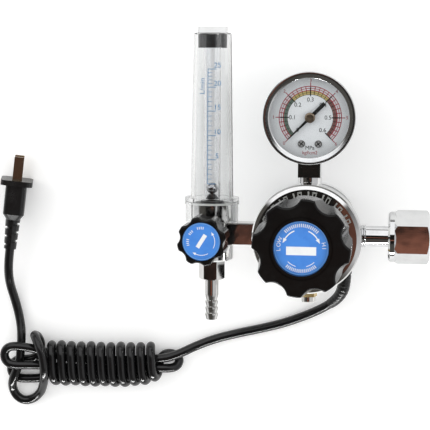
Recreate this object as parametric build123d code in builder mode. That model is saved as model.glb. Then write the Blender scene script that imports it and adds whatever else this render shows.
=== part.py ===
"""Heated gas regulator with a pressure gauge and a flow tube, lying on its back with its lead hanked up.

Millimetres. Origin: centre of the back cover's flat face, on the axis of the pressure knob.
+Z points out of the knob, +X towards the inlet nut, +Y towards the gauge.
"""
from build123d import *
import os
from math import atan2, cos, degrees, hypot, pi, radians, sin, sqrt, tan

os.makedirs("parts", exist_ok=True)

# ---------------------------------------------------------------- driving dimensions
# clearances
run_gap = 0.05          # radial, a shaft that turns or slides in its bore
snug_gap = 0.02         # radial, a fixed round fit
free_gap = 0.3          # between pieces that move past each other

# heater housing behind the body
cover_thickness = 3.0
housing_radius = 29.5
housing_depth = 33.0
housing_wall = 3.0
cover_screw_count = 3
cover_screw_circle = 22.8
cover_boss_radius = 3.6
housing_screw_circle = 19.2
screw_radius = 1.5
screw_head_radius = 3.0
heater_block_radius = 14.5
heater_block_length = 16.0
element_radius = 2.5
element_length = 13.0
thermostat_radius = 7.5
thermostat_height = 5.5

# regulator body
port_rise = 10.0        # port axes above the body's back face
barrel_radius = 24.0
barrel_length = 20.0
thread_ring_radius = 30.3
thread_ring_height = 8.0
rear_boss_radius = 8.0
rear_boss_length = 18.0
port_reach = 31.0       # flat ends of the side ports, from the knob axis
gauge_port_reach = 37.4
port_boss_radius = 8.4
chamber_radius = 24.0
chamber_depth = 5.0
diaphragm_radius = 28.0
diaphragm_thickness = 1.0
clamp_ring_thickness = 1.0
valve_bore_radius = 4.0
valve_bore_floor = 2.0  # metal left under the inlet chamber, above the body's back face
channel_radius = 1.5
channel_circle = 17.0

# valve
seat_radius = 5.0
seat_length = 7.0
seat_head_radius = 6.4
seat_head_height = 2.0
seat_hole_radius = 1.6
poppet_radius = 3.4
poppet_head = 4.0
poppet_stem_radius = 1.4
poppet_pin_radius = 0.9
valve_travel = 0.8

# bonnet, spring and pressure knob
bonnet_radius = 34.5
bonnet_rim_height = 14.5
bonnet_face_rise = 2.0
bonnet_neck_radius = 15.0
bonnet_neck_end = 30.0  # top of the neck, in front of the body
spring_chamber_radius = 12.5
spring_radius = 9.0     # centre line of the wire
spring_wire = 2.2
spring_turns = 4
plate_radius = 19.0
plate_thickness = 2.0
button_radius = 11.0
button_thickness = 3.0
adjuster_radius = 6.0
adjuster_thread_length = 6.0
knob_travel = 7.5
knob_radius = 29.8
knob_height = 22.0
knob_lobes = 8
scallop_radius = 6.6      # at the knob's back; the hollows widen towards its front
scallop_flare = 8.0       # degrees
knob_rounding = 1.4
scallop_centre = 35.0
knob_cavity_radius = 18.5
knob_web = 6.0
knob_label_radius = 16.5
knob_label_recess = 3.5
label_thickness = 0.6
mark_count = 15         # raised bars round the bonnet's face, wide and narrow in turn
mark_start = 22.0
mark_step = 9.2
mark_height = 0.7

# inlet
stem_radius = 6.6
stem_bore_radius = 2.5
stem_head_radius = 9.6
band_threads = 4        # threads left in sight between the body and the stem's plain part
band_pitch = 1.4
nut_start = 50.7
nut_length = 25.9
nut_across_flats = 30.0
nut_collar_length = 5.0
nut_collar_radius = 16.1
nut_thread_radius = 10.3
nut_relief_radius = 11.5
slip_ring_thickness = 1.5
stem_head_length = 3.0
washer_thickness = 1.5

# gauge
gauge_y = 75.4
gauge_radius = 28.2
gauge_bezel_wall = 1.0
gauge_back_drop = 13.0  # the gauge's back, behind the port plane
gauge_depth = 25.5
gauge_wall = 1.2
window_inset = 3.1      # from the case's radius in to the window's
dial_rise = 1.0         # the dial's back, in front of the port plane
dial_thickness = 0.8
lens_thickness = 2.0
pointer_length = 19.5
pointer_tail = 13.0
pointer_rest = 225.0
gauge_square = 14.2
bourdon_radius = 20.0

# flow side
flow_x = -63.2
arm_width = 14.4
block_radius = 14.0
block_top = 19.0
block_bottom = -17.5
block_thread_radius = 13.6
block_front = 12.5      # flat for the needle's gland nut, in front of the port plane
cover_skirt_radius = 17.0
cover_skirt_end = 7.8
cover_flange_radius = 17.55
cover_flange_height = 4.0
cover_bottom_radius = 13.75
cover_top_radius = 12.1
cover_end_wall = 1.0
cover_boss_height = 3.8
cover_boss_radius_top = 9.45
cover_wall = 2.1
tube_wall = 1.15
tube_taper = 0.45       # gain in bore radius from bottom to top
tube_length = 101.0
nozzle_base_height = 2.3
nozzle_height = 6.3
ball_radius = 3.75
ball_gap = 0.3          # round the ball at the bottom of the tube
stopper_radius = 9.25
stopper_height = 8.4
stopper_cap = 5.4       # of the stopper, above the tube's end
needle_radius = 3.0
gland_across_flats = 14.0
gland_height = 6.0
flow_knob_radius = 15.4
flow_knob_rise = 26.0   # the knob's back, in front of the port plane
flow_knob_height = 20.0
flow_scallop_radius = 5.6
flow_scallop_centre = 19.1
flow_label_radius = 11.8
flow_label_recess = 1.5
hose_hex_across_flats = 14.6
hose_hex_end = -30.6
hose_shank_radius = 4.5
hose_shank_end = -40.9
hose_bore_radius = 2.6
barb_radius = 4.4
barb_root_radius = 3.4
barb_pitch = 4.15
barb_blunting = 0.15     # loss of radius along a barb's worn crest
barb_count = 4

# relief valve
relief_across_flats = 10.0
relief_hex_length = 9.0
relief_cap_length = 4.0

# mains lead
cord_radius = 3.1
gland_x = 21.8
gland_z = 16.0
gland_end = -30.0
gland_boss_end = -25.0
gland_boss_radius = 6.0
gland_radius = 4.0
plug_tilt = 7.0         # degrees, from +Y towards +X
plug_roll = 15.0        # degrees, its upper blade towards +X
plug_height = 14.3
blade_width = 6.35
blade_thickness = 1.5
blade_length = 16.0
blade_spacing = 12.7

# ---------------------------------------------------------------- levels worked out from them
body_back = cover_thickness + housing_depth
port_z = body_back + port_rise
barrel_top = body_back + barrel_length
ring_top = barrel_top + thread_ring_height
diaphragm_z = ring_top - diaphragm_thickness - clamp_ring_thickness
chamber_floor = diaphragm_z - chamber_depth
bonnet_top = ring_top + bonnet_neck_end
gauge_back = port_z - gauge_back_drop
gauge_bezel_radius = gauge_radius + gauge_bezel_wall
window_radius = gauge_radius - window_inset
dial_z = port_z + dial_rise
flow_knob_back = port_z + flow_knob_rise
tube_bore_bottom = ball_radius + ball_gap
tube_bore_top = tube_bore_bottom + tube_taper
tube_radius = tube_bore_bottom + tube_wall
tube_bottom = block_top + nozzle_base_height
tube_top = tube_bottom + tube_length
stopper_top = tube_top + stopper_cap
cover_shoulder_y = stopper_top + cover_end_wall
cover_top_y = cover_shoulder_y + cover_boss_height
port_plane = Plane.XY.offset(port_z)
inlet_axis = Axis((0, 0, port_z), (1, 0, 0))
gauge_axis = Axis((0, 0, port_z), (0, 1, 0))
flow_axis = Axis((flow_x, 0, port_z), (0, 1, 0))


def across_x(x, z=port_z):
    """Plane square to the inlet axis at x, looking along +X, its own x along +Y."""
    return Plane(origin=(x, 0, z), x_dir=(0, 1, 0), z_dir=(1, 0, 0))


def across_y(y, x=0.0, z=port_z):
    """Plane square to +Y at y, through x and z, its own x along +X."""
    return Plane(origin=(x, y, z), x_dir=(1, 0, 0), z_dir=(0, 1, 0))


def round_bar(plane, radius, length, mode=Mode.ADD):
    """Cylinder of the open part that starts on the plane and runs along its normal."""
    with BuildSketch(plane) as section:
        Circle(radius)
    extrude(section.sketch, amount=length, mode=mode)


def hex_bar(plane, across_flats, length, turn=0.0):
    """Hexagonal bar of the open part; turn is the angle of its first flat's normal plus 30 degrees."""
    with BuildSketch(plane) as section:
        RegularPolygon(across_flats / 2, 6, major_radius=False, rotation=turn)
    extrude(section.sketch, amount=length)


def turned(outline, plane, axis, mode=Mode.ADD):
    """Solid of revolution of the open part, from its half outline in a plane that holds the axis."""
    with BuildSketch(plane) as section:
        with BuildLine():
            Polyline(*outline, close=True)
        make_face()
    revolve(section.sketch, axis=axis, mode=mode)


def finish(part, name):
    """Label a finished sub-part and write its STEP file."""
    part.label = name
    export_step(part, f"parts/{name}.step")


# ================================================================ heater housing
cover_screw_angles = [360 / cover_screw_count * i for i in range(cover_screw_count)]
housing_screw_angles = [angle + 60 for angle in cover_screw_angles]

with BuildPart() as back_cover:
    round_bar(Plane.XY, housing_radius, cover_thickness)
    with Locations(Plane.XY.rotated((180, 0, 0))):
        with PolarLocations(cover_screw_circle, cover_screw_count):
            CounterSinkHole(screw_radius + 0.2, screw_head_radius + 0.2, cover_thickness, 90)
finish(back_cover.part, "back_cover")

with BuildPart() as heater_housing:
    round_bar(Plane.XY.offset(cover_thickness), housing_radius, housing_depth)
    fillet(heater_housing.edges().group_by(Axis.Z)[-1], 2.0)
    round_bar(across_y(gland_boss_end, gland_x, gland_z), gland_boss_radius, -gland_boss_end)
    inner_depth = housing_depth - housing_wall
    round_bar(Plane.XY.offset(cover_thickness), housing_radius - housing_wall, inner_depth, Mode.SUBTRACT)
    with BuildSketch(Plane.XY.offset(cover_thickness)):
        with PolarLocations(cover_screw_circle, cover_screw_count):
            Circle(cover_boss_radius)
    extrude(amount=inner_depth)
    with Locations(Plane.XY.offset(cover_thickness).rotated((180, 0, 0))):
        with PolarLocations(cover_screw_circle, cover_screw_count):
            Hole(screw_radius + snug_gap, 10.0)
    with BuildSketch(Plane.XY.offset(body_back)):
        Circle(rear_boss_radius + 0.2)
        with PolarLocations(housing_screw_circle, cover_screw_count, start_angle=60):
            Circle(screw_radius + 0.2)
    extrude(amount=-housing_wall, mode=Mode.SUBTRACT)
    round_bar(across_y(gland_end, gland_x, gland_z), gland_radius + snug_gap, 20.0, Mode.SUBTRACT)
finish(heater_housing.part, "heater_housing")

with BuildPart() as back_cover_screws:
    head = screw_head_radius - screw_radius
    for angle in cover_screw_angles:
        seat_x, seat_y = cover_screw_circle * cos(radians(angle)), cover_screw_circle * sin(radians(angle))
        spot = Plane.XY.offset(0.3)
        spot.origin = (seat_x, seat_y, 0.3)
        with BuildSketch(spot) as wide:
            Circle(screw_head_radius - 0.2)
        extrude(wide.sketch, amount=head, taper=45)
        round_bar(spot, screw_radius, 9.0)
        with BuildSketch(spot) as slot:
            Rectangle(screw_head_radius, 0.6)
        extrude(slot.sketch, amount=0.8, mode=Mode.SUBTRACT)
finish(back_cover_screws.part, "back_cover_screws")

with BuildPart() as housing_screws:
    seat = body_back - housing_wall
    for angle in housing_screw_angles:
        spot = Plane(origin=(housing_screw_circle * cos(radians(angle)),
                             housing_screw_circle * sin(radians(angle)), seat))
        round_bar(spot, screw_radius, housing_wall + 8.0)
        round_bar(spot, screw_head_radius, -2.0)
finish(housing_screws.part, "housing_screws")

heater_block_top = body_back - housing_wall - 0.5
heater_block_back = heater_block_top - heater_block_length
element_circle = (rear_boss_radius + heater_block_radius) / 2
with BuildPart() as heater_block:
    round_bar(Plane.XY.offset(heater_block_back), heater_block_radius, heater_block_length)
    boss_back = body_back - rear_boss_length
    round_bar(Plane.XY.offset(boss_back), rear_boss_radius + snug_gap, rear_boss_length, Mode.SUBTRACT)
    with BuildSketch(Plane.XY.offset(heater_block_back)):
        with PolarLocations(element_circle, 2, start_angle=20):
            Circle(element_radius + run_gap)
    extrude(amount=element_length, mode=Mode.SUBTRACT)
finish(heater_block.part, "heater_block")

with BuildPart() as heating_elements:
    with BuildSketch(Plane.XY.offset(heater_block_back - 1.5)):
        with PolarLocations(element_circle, 2, start_angle=20):
            Circle(element_radius)
    extrude(amount=element_length + 1.5)
finish(heating_elements.part, "heating_elements")

with BuildPart() as thermostat:
    round_bar(Plane.XY.offset(heater_block_back), thermostat_radius, -thermostat_height)
    with BuildSketch(Plane.XY.offset(heater_block_back - thermostat_height)):
        with Locations((-4.0, 0), (4.0, 0)):
            Rectangle(0.8, 5.0)
    extrude(amount=-3.0)
finish(thermostat.part, "thermostat")

with BuildPart() as terminal_block:
    with BuildSketch(Plane.XY.offset(cover_thickness)):
        with Locations((5.5, 16.5)):
            Rectangle(17.0, 8.0)
    extrude(amount=7.0)
    with BuildSketch(Plane.XY.offset(cover_thickness + 7.0)):
        with Locations((-0.2, 16.5), (5.5, 16.5), (11.2, 16.5)):
            Circle(1.8)
    extrude(amount=-3.0, mode=Mode.SUBTRACT)
finish(terminal_block.part, "terminal_block")

# ================================================================ regulator body
with BuildPart() as regulator_body:
    round_bar(Plane.XY.offset(body_back), barrel_radius, barrel_length)
    round_bar(Plane.XY.offset(barrel_top), thread_ring_radius, thread_ring_height)
    round_bar(Plane.XY.offset(body_back - rear_boss_length), rear_boss_radius, rear_boss_length)
    for direction in (1, -1):
        round_bar(across_x(0), port_boss_radius, direction * port_reach)
    round_bar(across_y(0), port_boss_radius, -port_reach)
    round_bar(across_y(0), port_boss_radius - 0.7, gauge_port_reach)
    round_bar(Plane.XY.offset(chamber_floor), chamber_radius, ring_top - chamber_floor, Mode.SUBTRACT)
    round_bar(Plane.XY.offset(diaphragm_z), diaphragm_radius + run_gap, 9.0, Mode.SUBTRACT)
    floor_z = body_back + valve_bore_floor
    round_bar(Plane.XY.offset(floor_z), valve_bore_radius, chamber_floor - floor_z, Mode.SUBTRACT)
    round_bar(Plane.XY.offset(chamber_floor), seat_radius + snug_gap, -seat_length, Mode.SUBTRACT)
    # inlet port, with its channel into the valve bore
    round_bar(across_x(port_reach), stem_radius + snug_gap - 0.6, -12.0, Mode.SUBTRACT)
    round_bar(across_x(0), 2.0, port_reach, Mode.SUBTRACT)
    # outlet, gauge and relief ports, each with a channel up to the chamber
    round_bar(across_x(-port_reach), 5.0 + snug_gap, 10.0, Mode.SUBTRACT)
    round_bar(across_x(-port_reach), channel_radius, port_reach - channel_circle, Mode.SUBTRACT)
    round_bar(across_y(gauge_port_reach), 4.0 + snug_gap, -14.0, Mode.SUBTRACT)
    round_bar(across_y(gauge_port_reach), channel_radius, channel_circle - gauge_port_reach, Mode.SUBTRACT)
    round_bar(across_y(-port_reach), 4.0 + snug_gap, 7.0, Mode.SUBTRACT)
    round_bar(across_y(-port_reach), channel_radius, port_reach - channel_circle, Mode.SUBTRACT)
    with BuildSketch(Plane.XY.offset(chamber_floor)):
        with Locations((-channel_circle, 0), (0, channel_circle), (0, -channel_circle)):
            Circle(channel_radius)
    extrude(amount=port_z - chamber_floor, mode=Mode.SUBTRACT)
    with BuildSketch(Plane.XY.offset(body_back)):
        with PolarLocations(housing_screw_circle, cover_screw_count, start_angle=60):
            Circle(screw_radius + snug_gap)
    extrude(amount=8.5, mode=Mode.SUBTRACT)
finish(regulator_body.part, "regulator_body")

with BuildPart() as diaphragm:
    round_bar(Plane.XY.offset(diaphragm_z), diaphragm_radius, diaphragm_thickness)
finish(diaphragm.part, "diaphragm")

with BuildPart() as clamp_ring:
    ring_z = diaphragm_z + diaphragm_thickness
    round_bar(Plane.XY.offset(ring_z), diaphragm_radius, clamp_ring_thickness)
    round_bar(Plane.XY.offset(ring_z), chamber_radius, clamp_ring_thickness, Mode.SUBTRACT)
finish(clamp_ring.part, "clamp_ring")

# ---------------------------------------------------------------- valve
seat_bottom = chamber_floor - seat_length
with BuildPart() as valve_seat:
    round_bar(Plane.XY.offset(seat_bottom), seat_radius, seat_length)
    hex_bar(Plane.XY.offset(chamber_floor), 2 * seat_head_radius * cos(pi / 6), seat_head_height)
    round_bar(Plane.XY.offset(seat_bottom), seat_hole_radius, seat_length + seat_head_height, Mode.SUBTRACT)
finish(valve_seat.part, "valve_seat")

with BuildPart() as poppet:
    round_bar(Plane.XY.offset(seat_bottom), poppet_radius, -poppet_head)
    round_bar(Plane.XY.offset(seat_bottom), poppet_pin_radius, diaphragm_z - seat_bottom)
    stem_bottom = body_back + valve_bore_floor + valve_travel + 1.2
    round_bar(Plane.XY.offset(stem_bottom), poppet_stem_radius, seat_bottom - stem_bottom - poppet_head)
finish(poppet.part, "poppet")


def coil_spring(plane, radius, wire, turns, length):
    """Compression spring of the open part, from the plane along its normal, wire centres half a wire in."""
    rise = length - wire
    base = plane.offset(wire / 2)
    with BuildLine() as path:
        Helix(rise / turns, rise, radius, center=base.origin, direction=base.z_dir)
    start = path.line @ 0
    with BuildSketch(Plane(origin=start, z_dir=path.line % 0)) as section:
        Circle(wire / 2)
    sweep(section.sketch, path=path.line, is_frenet=True)


with BuildPart() as poppet_spring:
    spring_floor = body_back + valve_bore_floor
    spring_space = seat_bottom - poppet_head - spring_floor
    coil_spring(Plane.XY.offset(spring_floor), 2.5, 0.6, 4, spring_space)
finish(poppet_spring.part, "poppet_spring")

# ================================================================ bonnet and pressure knob
rim_bottom = barrel_top - 0.5
rim_top = rim_bottom + bonnet_rim_height
face_top = rim_top + bonnet_face_rise
chamber_top = bonnet_top - adjuster_thread_length
with BuildPart() as bonnet:
    turned([(0, rim_bottom), (bonnet_radius, rim_bottom), (bonnet_radius, rim_top - 0.8),
            (bonnet_radius - 0.8, rim_top), (bonnet_radius - 3.0, rim_top + 0.6),
            (bonnet_neck_radius + 2.0, face_top), (bonnet_neck_radius, face_top + 2.0),
            (bonnet_neck_radius, bonnet_top), (0, bonnet_top)], Plane.XZ, Axis.Z)
    rim_lap = ring_top - rim_bottom
    round_bar(Plane.XY.offset(rim_bottom), thread_ring_radius + snug_gap, rim_lap, Mode.SUBTRACT)
    dome_top = ring_top + plate_thickness + 3.0
    round_bar(Plane.XY.offset(ring_top), chamber_radius, dome_top - ring_top, Mode.SUBTRACT)
    round_bar(Plane.XY.offset(dome_top), spring_chamber_radius, chamber_top - dome_top, Mode.SUBTRACT)
    round_bar(Plane.XY.offset(chamber_top), adjuster_radius + run_gap, adjuster_thread_length, Mode.SUBTRACT)
    slope = (face_top - rim_top - 0.6) / (bonnet_radius - bonnet_neck_radius - 5.0)
    mark_inner = bonnet_radius - 9.5
    mark_outer = bonnet_radius - 4.2
    inner_z = rim_top + 0.6 + slope * (bonnet_radius - 3.0 - mark_inner)
    outer_z = rim_top + 0.6 + slope * (bonnet_radius - 3.0 - mark_outer)
    for i in range(mark_count):
        wide = i % 2 == 0
        with BuildSketch(Plane.XZ.rotated((0, 0, mark_start + i * mark_step))) as mark:
            with BuildLine():
                Polyline((mark_inner, inner_z - 0.5), (mark_outer, outer_z - 0.5),
                         (mark_outer, outer_z + mark_height), (mark_inner, inner_z + mark_height), close=True)
            make_face()
        revolve(mark.sketch, axis=Axis.Z, revolution_arc=6.0 if wide else 2.5)
finish(bonnet.part, "bonnet")

plate_z = diaphragm_z + diaphragm_thickness
spring_z = plate_z + plate_thickness
button_z = chamber_top - button_thickness - 1.0
with BuildPart() as diaphragm_plate:
    round_bar(Plane.XY.offset(plate_z), plate_radius, plate_thickness)
    round_bar(Plane.XY.offset(spring_z), spring_radius - spring_wire / 2 - free_gap, 2.5)
    fillet(diaphragm_plate.edges().group_by(Axis.Z)[-1], 1.0)
finish(diaphragm_plate.part, "diaphragm_plate")

with BuildPart() as main_spring:
    coil_spring(Plane.XY.offset(spring_z), spring_radius, spring_wire, spring_turns, button_z - spring_z)
finish(main_spring.part, "main_spring")

with BuildPart() as spring_button:
    round_bar(Plane.XY.offset(button_z), button_radius, button_thickness)
    round_bar(Plane.XY.offset(button_z), spring_radius - spring_wire / 2 - free_gap, -2.0)
finish(spring_button.part, "spring_button")

knob_back = bonnet_top - 4.0
knob_front = knob_back + knob_height
web_back = bonnet_top + knob_travel + 0.5
adjuster_top = web_back + knob_web - 1.0
with BuildPart() as adjusting_screw:
    adjuster_z = button_z + button_thickness
    round_bar(Plane.XY.offset(adjuster_z), adjuster_radius, adjuster_top - adjuster_z)
    chamfer(adjusting_screw.edges().group_by(Axis.Z)[0], 1.0)
finish(adjusting_screw.part, "adjusting_screw")


def lobed_knob(plane, radius, height, scallop, scallop_at, first_scallop, corner):
    """Grip of the open part: a disc with hollows cut round its edge and rounded lobes between."""
    with BuildSketch(plane) as grip:
        Circle(radius)
        with PolarLocations(scallop_at, knob_lobes, start_angle=first_scallop):
            Circle(scallop, mode=Mode.SUBTRACT)
        fillet(grip.vertices(), corner)
    extrude(grip.sketch, amount=height)


with BuildPart() as pressure_knob:
    round_bar(Plane.XY.offset(knob_back), knob_radius, knob_height)
    with BuildSketch(Plane.XY.offset(knob_back)) as hollows:
        with PolarLocations(scallop_centre, knob_lobes, start_angle=15):
            Circle(scallop_radius)
    extrude(hollows.sketch, amount=knob_height, taper=-scallop_flare, mode=Mode.SUBTRACT)
    lobe_corners = [edge for edge in pressure_knob.edges() if edge.bounding_box().size.Z > 0.9 * knob_height
                    and edge.bounding_box().size.Z < 1.1 * knob_height]
    front_edges = pressure_knob.faces().sort_by(Axis.Z)[-1].edges()
    fillet(lobe_corners + list(front_edges), knob_rounding)
    label_floor = knob_front - knob_label_recess
    round_bar(Plane.XY.offset(knob_back), knob_cavity_radius, web_back - knob_back, Mode.SUBTRACT)
    round_bar(Plane.XY.offset(web_back), adjuster_radius + snug_gap, adjuster_top - web_back, Mode.SUBTRACT)
    round_bar(Plane.XY.offset(label_floor), knob_label_radius + 0.1, knob_label_recess, Mode.SUBTRACT)
    with BuildSketch(Plane.XY.offset(knob_front)):
        Circle(knob_label_radius + 2.6)
        Circle(knob_label_radius + 1.8, mode=Mode.SUBTRACT)
    extrude(amount=-0.8, mode=Mode.SUBTRACT)
finish(pressure_knob.part, "pressure_knob")

with BuildPart() as pressure_knob_label:
    round_bar(Plane.XY.offset(label_floor), knob_label_radius, label_thickness)
finish(pressure_knob_label.part, "pressure_knob_label")

# ================================================================ inlet
nut_wall = nut_start + nut_collar_length
head_start = nut_wall + slip_ring_thickness + free_gap
head_end = head_start + stem_head_length
washer_end = head_end + washer_thickness
spigot = stem_radius - 0.6
filter_depth = 5.0
with BuildPart() as inlet_stem:
    stem_outline = [(port_reach - 11.0, 0), (port_reach - 11.0, spigot), (port_reach, spigot)]
    for i in range(band_threads):
        thread_x = port_reach + i * band_pitch
        stem_outline.append((thread_x, stem_radius))
        stem_outline.append((thread_x + 0.4 * band_pitch, stem_radius + 0.9))
        stem_outline.append((thread_x + 0.6 * band_pitch, stem_radius + 0.9))
    stem_outline += [(port_reach + band_threads * band_pitch, stem_radius), (head_start, stem_radius),
                     (head_start, stem_head_radius), (head_end, stem_head_radius), (head_end, 0)]
    turned(stem_outline, port_plane, inlet_axis)
    round_bar(across_x(port_reach - 11.0), stem_bore_radius, 60.0, Mode.SUBTRACT)
    round_bar(across_x(head_end), 4.0 + snug_gap, -filter_depth, Mode.SUBTRACT)
finish(inlet_stem.part, "inlet_stem")

with BuildPart() as inlet_filter:
    round_bar(across_x(head_end), 4.0, -filter_depth)
finish(inlet_filter.part, "inlet_filter")

with BuildPart() as sealing_washer:
    round_bar(across_x(head_end), stem_head_radius - 0.4, washer_thickness)
    round_bar(across_x(head_end), 4.6, washer_thickness, Mode.SUBTRACT)
finish(sealing_washer.part, "sealing_washer")

with BuildPart() as slip_ring:
    round_bar(across_x(nut_wall), stem_head_radius, slip_ring_thickness)
    round_bar(across_x(nut_wall), stem_radius + run_gap, slip_ring_thickness, Mode.SUBTRACT)
finish(slip_ring.part, "slip_ring")

nut_end = nut_start + nut_length
mouth_chamfer = 0.6
with BuildPart() as inlet_nut:
    hex_bar(across_x(nut_start), nut_across_flats, nut_length)
    corner_radius = nut_across_flats / sqrt(3)
    shoulder = corner_radius - nut_collar_radius
    tip = 1.6
    with BuildSketch(port_plane) as envelope:
        with BuildLine():
            Polyline((nut_start, 0), (nut_start, nut_collar_radius - 1.2),
                     (nut_start + 1.2, nut_collar_radius), (nut_wall - 1.0, nut_collar_radius),
                     (nut_wall + shoulder, corner_radius + 0.2), (nut_end - tip, corner_radius + 0.2),
                     (nut_end, corner_radius - 2.6), (nut_end, 0), close=True)
        make_face()
    revolve(envelope.sketch, axis=inlet_axis, mode=Mode.INTERSECT)
    with BuildSketch(port_plane) as collar:
        with BuildLine():
            Polyline((nut_start, 0), (nut_start, nut_collar_radius - 1.2),
                     (nut_start + 1.2, nut_collar_radius), (nut_wall - 1.0, nut_collar_radius),
                     (nut_wall, nut_collar_radius - 1.0), (nut_wall, 0), close=True)
        make_face()
    revolve(collar.sketch, axis=inlet_axis)
    round_bar(across_x(nut_start), stem_radius + run_gap + 0.02, nut_collar_length, Mode.SUBTRACT)
    relief_end = washer_end + 0.5
    turned([(nut_wall, 0), (nut_wall, nut_relief_radius), (relief_end, nut_relief_radius),
            (relief_end, nut_thread_radius), (nut_end - mouth_chamfer, nut_thread_radius),
            (nut_end, nut_thread_radius + mouth_chamfer), (nut_end, 0)],
           port_plane, inlet_axis, Mode.SUBTRACT)
finish(inlet_nut.part, "inlet_nut")

# ================================================================ gauge
gauge_plane = Plane(origin=(0, gauge_y, 0))
gauge_front = gauge_back + gauge_depth
lip = 1.5
lens_z = gauge_front - lip - lens_thickness
case_top = lens_z
block_low = gauge_y - gauge_radius + gauge_wall
block_high = gauge_y - 13.4
with BuildPart() as gauge_case:
    round_bar(gauge_plane.offset(gauge_back), gauge_radius, case_top - gauge_back)
    fillet(gauge_case.edges().group_by(Axis.Z)[0], 2.0)
    round_bar(gauge_plane.offset(gauge_back + gauge_wall), gauge_radius - gauge_wall,
              case_top - gauge_back - gauge_wall, Mode.SUBTRACT)
    with BuildSketch(across_y(gauge_y - gauge_radius - 1.0)):
        Rectangle(gauge_square + 0.4, gauge_square + 0.4)
    extrude(amount=gauge_wall + 4.0, mode=Mode.SUBTRACT)
finish(gauge_case.part, "gauge_case")

socket_block_width = 15.6
socket_block_back = gauge_back + gauge_wall
socket_block_front = dial_z
with BuildPart() as gauge_socket:
    square_start = gauge_port_reach
    square_end = block_low - 0.2
    block_start = gauge_y - sqrt((gauge_radius - gauge_wall) ** 2 - (socket_block_width / 2) ** 2) + 0.1
    round_bar(across_y(square_start), 4.0, -13.0)
    with BuildSketch(across_y(square_start)):
        Rectangle(gauge_square, gauge_square)
    extrude(amount=square_end - square_start)
    neck_back = port_z - gauge_square / 2
    with BuildSketch(Plane.XY.offset(neck_back)):
        with Locations((0, (square_end + block_start) / 2)):
            Rectangle(gauge_square, block_start - square_end)
    extrude(amount=dial_z - 0.1 - neck_back)
    with BuildSketch(Plane.XY.offset(socket_block_back)):
        with Locations((0, (block_start + block_high) / 2)):
            Rectangle(socket_block_width, block_high - block_start)
    extrude(amount=socket_block_front - socket_block_back)
    round_bar(across_y(square_start - 13.0), 1.5, 30.0, Mode.SUBTRACT)
    with BuildSketch(Plane.XY.offset(socket_block_front)):
        with Locations((-5.4, gauge_y - 16.7), (5.4, gauge_y - 16.7)):
            Circle(1.0 + snug_gap)
    extrude(amount=-5.0, mode=Mode.SUBTRACT)
finish(gauge_socket.part, "gauge_socket")

bourdon_z = port_z - 5.0
bourdon_start = -64.0
bourdon_sweep = 230.0
with BuildPart() as bourdon_tube:
    start_plane = Plane(origin=(0, gauge_y, bourdon_z), x_dir=(cos(radians(bourdon_start)),
                        sin(radians(bourdon_start)), 0), z_dir=(-sin(radians(bourdon_start)),
                        cos(radians(bourdon_start)), 0))
    with BuildSketch(start_plane) as tube_section:
        with Locations((bourdon_radius, 0)):
            SlotOverall(8.0, 2.0, rotation=90)
    revolve(tube_section.sketch, axis=Axis((0, gauge_y, 0), (0, 0, 1)), revolution_arc=bourdon_sweep)
finish(bourdon_tube.part, "bourdon_tube")

arbor_radius = 0.8
sector_x = -9.0
sector_y = gauge_y - 8.8
plate_left = -12.0
plate_right = 6.0
plate_top = gauge_y + 5.0
back_plate_z = port_z - 7.0
front_plate_z = port_z - 1.2
plate_sheet = 1.2
with BuildPart() as movement_frame:
    for level in (back_plate_z, front_plate_z):
        with BuildSketch(Plane.XY.offset(level)) as sheet:
            with Locations(((plate_left + plate_right) / 2, (block_high + plate_top) / 2)):
                Rectangle(plate_right - plate_left, plate_top - block_high)
            with Locations((0, gauge_y)):
                Circle(arbor_radius + run_gap, mode=Mode.SUBTRACT)
            with Locations((sector_x, sector_y)):
                Circle(arbor_radius + run_gap, mode=Mode.SUBTRACT)
        extrude(sheet.sketch, amount=plate_sheet)
    with BuildSketch(Plane.XY.offset(back_plate_z)) as pillars:
        with Locations((plate_left + 1.3, plate_top - 1.3), (plate_right - 1.3, block_high + 1.3)):
            Circle(1.2)
    extrude(pillars.sketch, amount=front_plate_z - back_plate_z)
finish(movement_frame.part, "movement_frame")

gear_z = back_plate_z + plate_sheet + free_gap
gear_height = front_plate_z - gear_z - free_gap
pinion_radius = 1.2
gear_distance = hypot(sector_x, sector_y - gauge_y)
mesh_gap = 0.3
with BuildPart() as gauge_sector:
    towards = degrees(atan2(gauge_y - sector_y, -sector_x))
    sector_plane = Plane(origin=(sector_x, sector_y, gear_z + 1.0))
    with BuildSketch(sector_plane):
        with BuildLine():
            outer = gear_distance - pinion_radius - mesh_gap
            arc = CenterArc((0, 0), outer, towards - 35, 38)
            Polyline(arc @ 1, (0, 0), arc @ 0)
        make_face()
        Circle(2.0)
    extrude(amount=1.5)
    arbor_back = Plane(origin=(sector_x, sector_y, back_plate_z))
    round_bar(arbor_back, arbor_radius, front_plate_z + plate_sheet - back_plate_z)
finish(gauge_sector.part, "gauge_sector")

with BuildPart() as gauge_dial:
    round_bar(gauge_plane.offset(dial_z), gauge_radius - gauge_wall - 0.3, dial_thickness)
    round_bar(gauge_plane.offset(dial_z), 2.0, dial_thickness, Mode.SUBTRACT)
    with BuildSketch(Plane.XY.offset(dial_z)):
        with Locations((-5.4, gauge_y - 16.7), (5.4, gauge_y - 16.7)):
            Circle(1.2)
    extrude(amount=dial_thickness, mode=Mode.SUBTRACT)
finish(gauge_dial.part, "gauge_dial")

with BuildPart() as dial_screws:
    for x in (-5.4, 5.4):
        screw_plane = Plane(origin=(x, gauge_y - 16.7, dial_z + dial_thickness))
        round_bar(screw_plane, 2.25, 1.1)
        round_bar(screw_plane, 1.0, -5.0)
        with BuildSketch(screw_plane.offset(1.1)) as slot:
            Rectangle(4.6, 0.6)
        extrude(slot.sketch, amount=-0.5, mode=Mode.SUBTRACT)
finish(dial_screws.part, "dial_screws")

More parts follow.
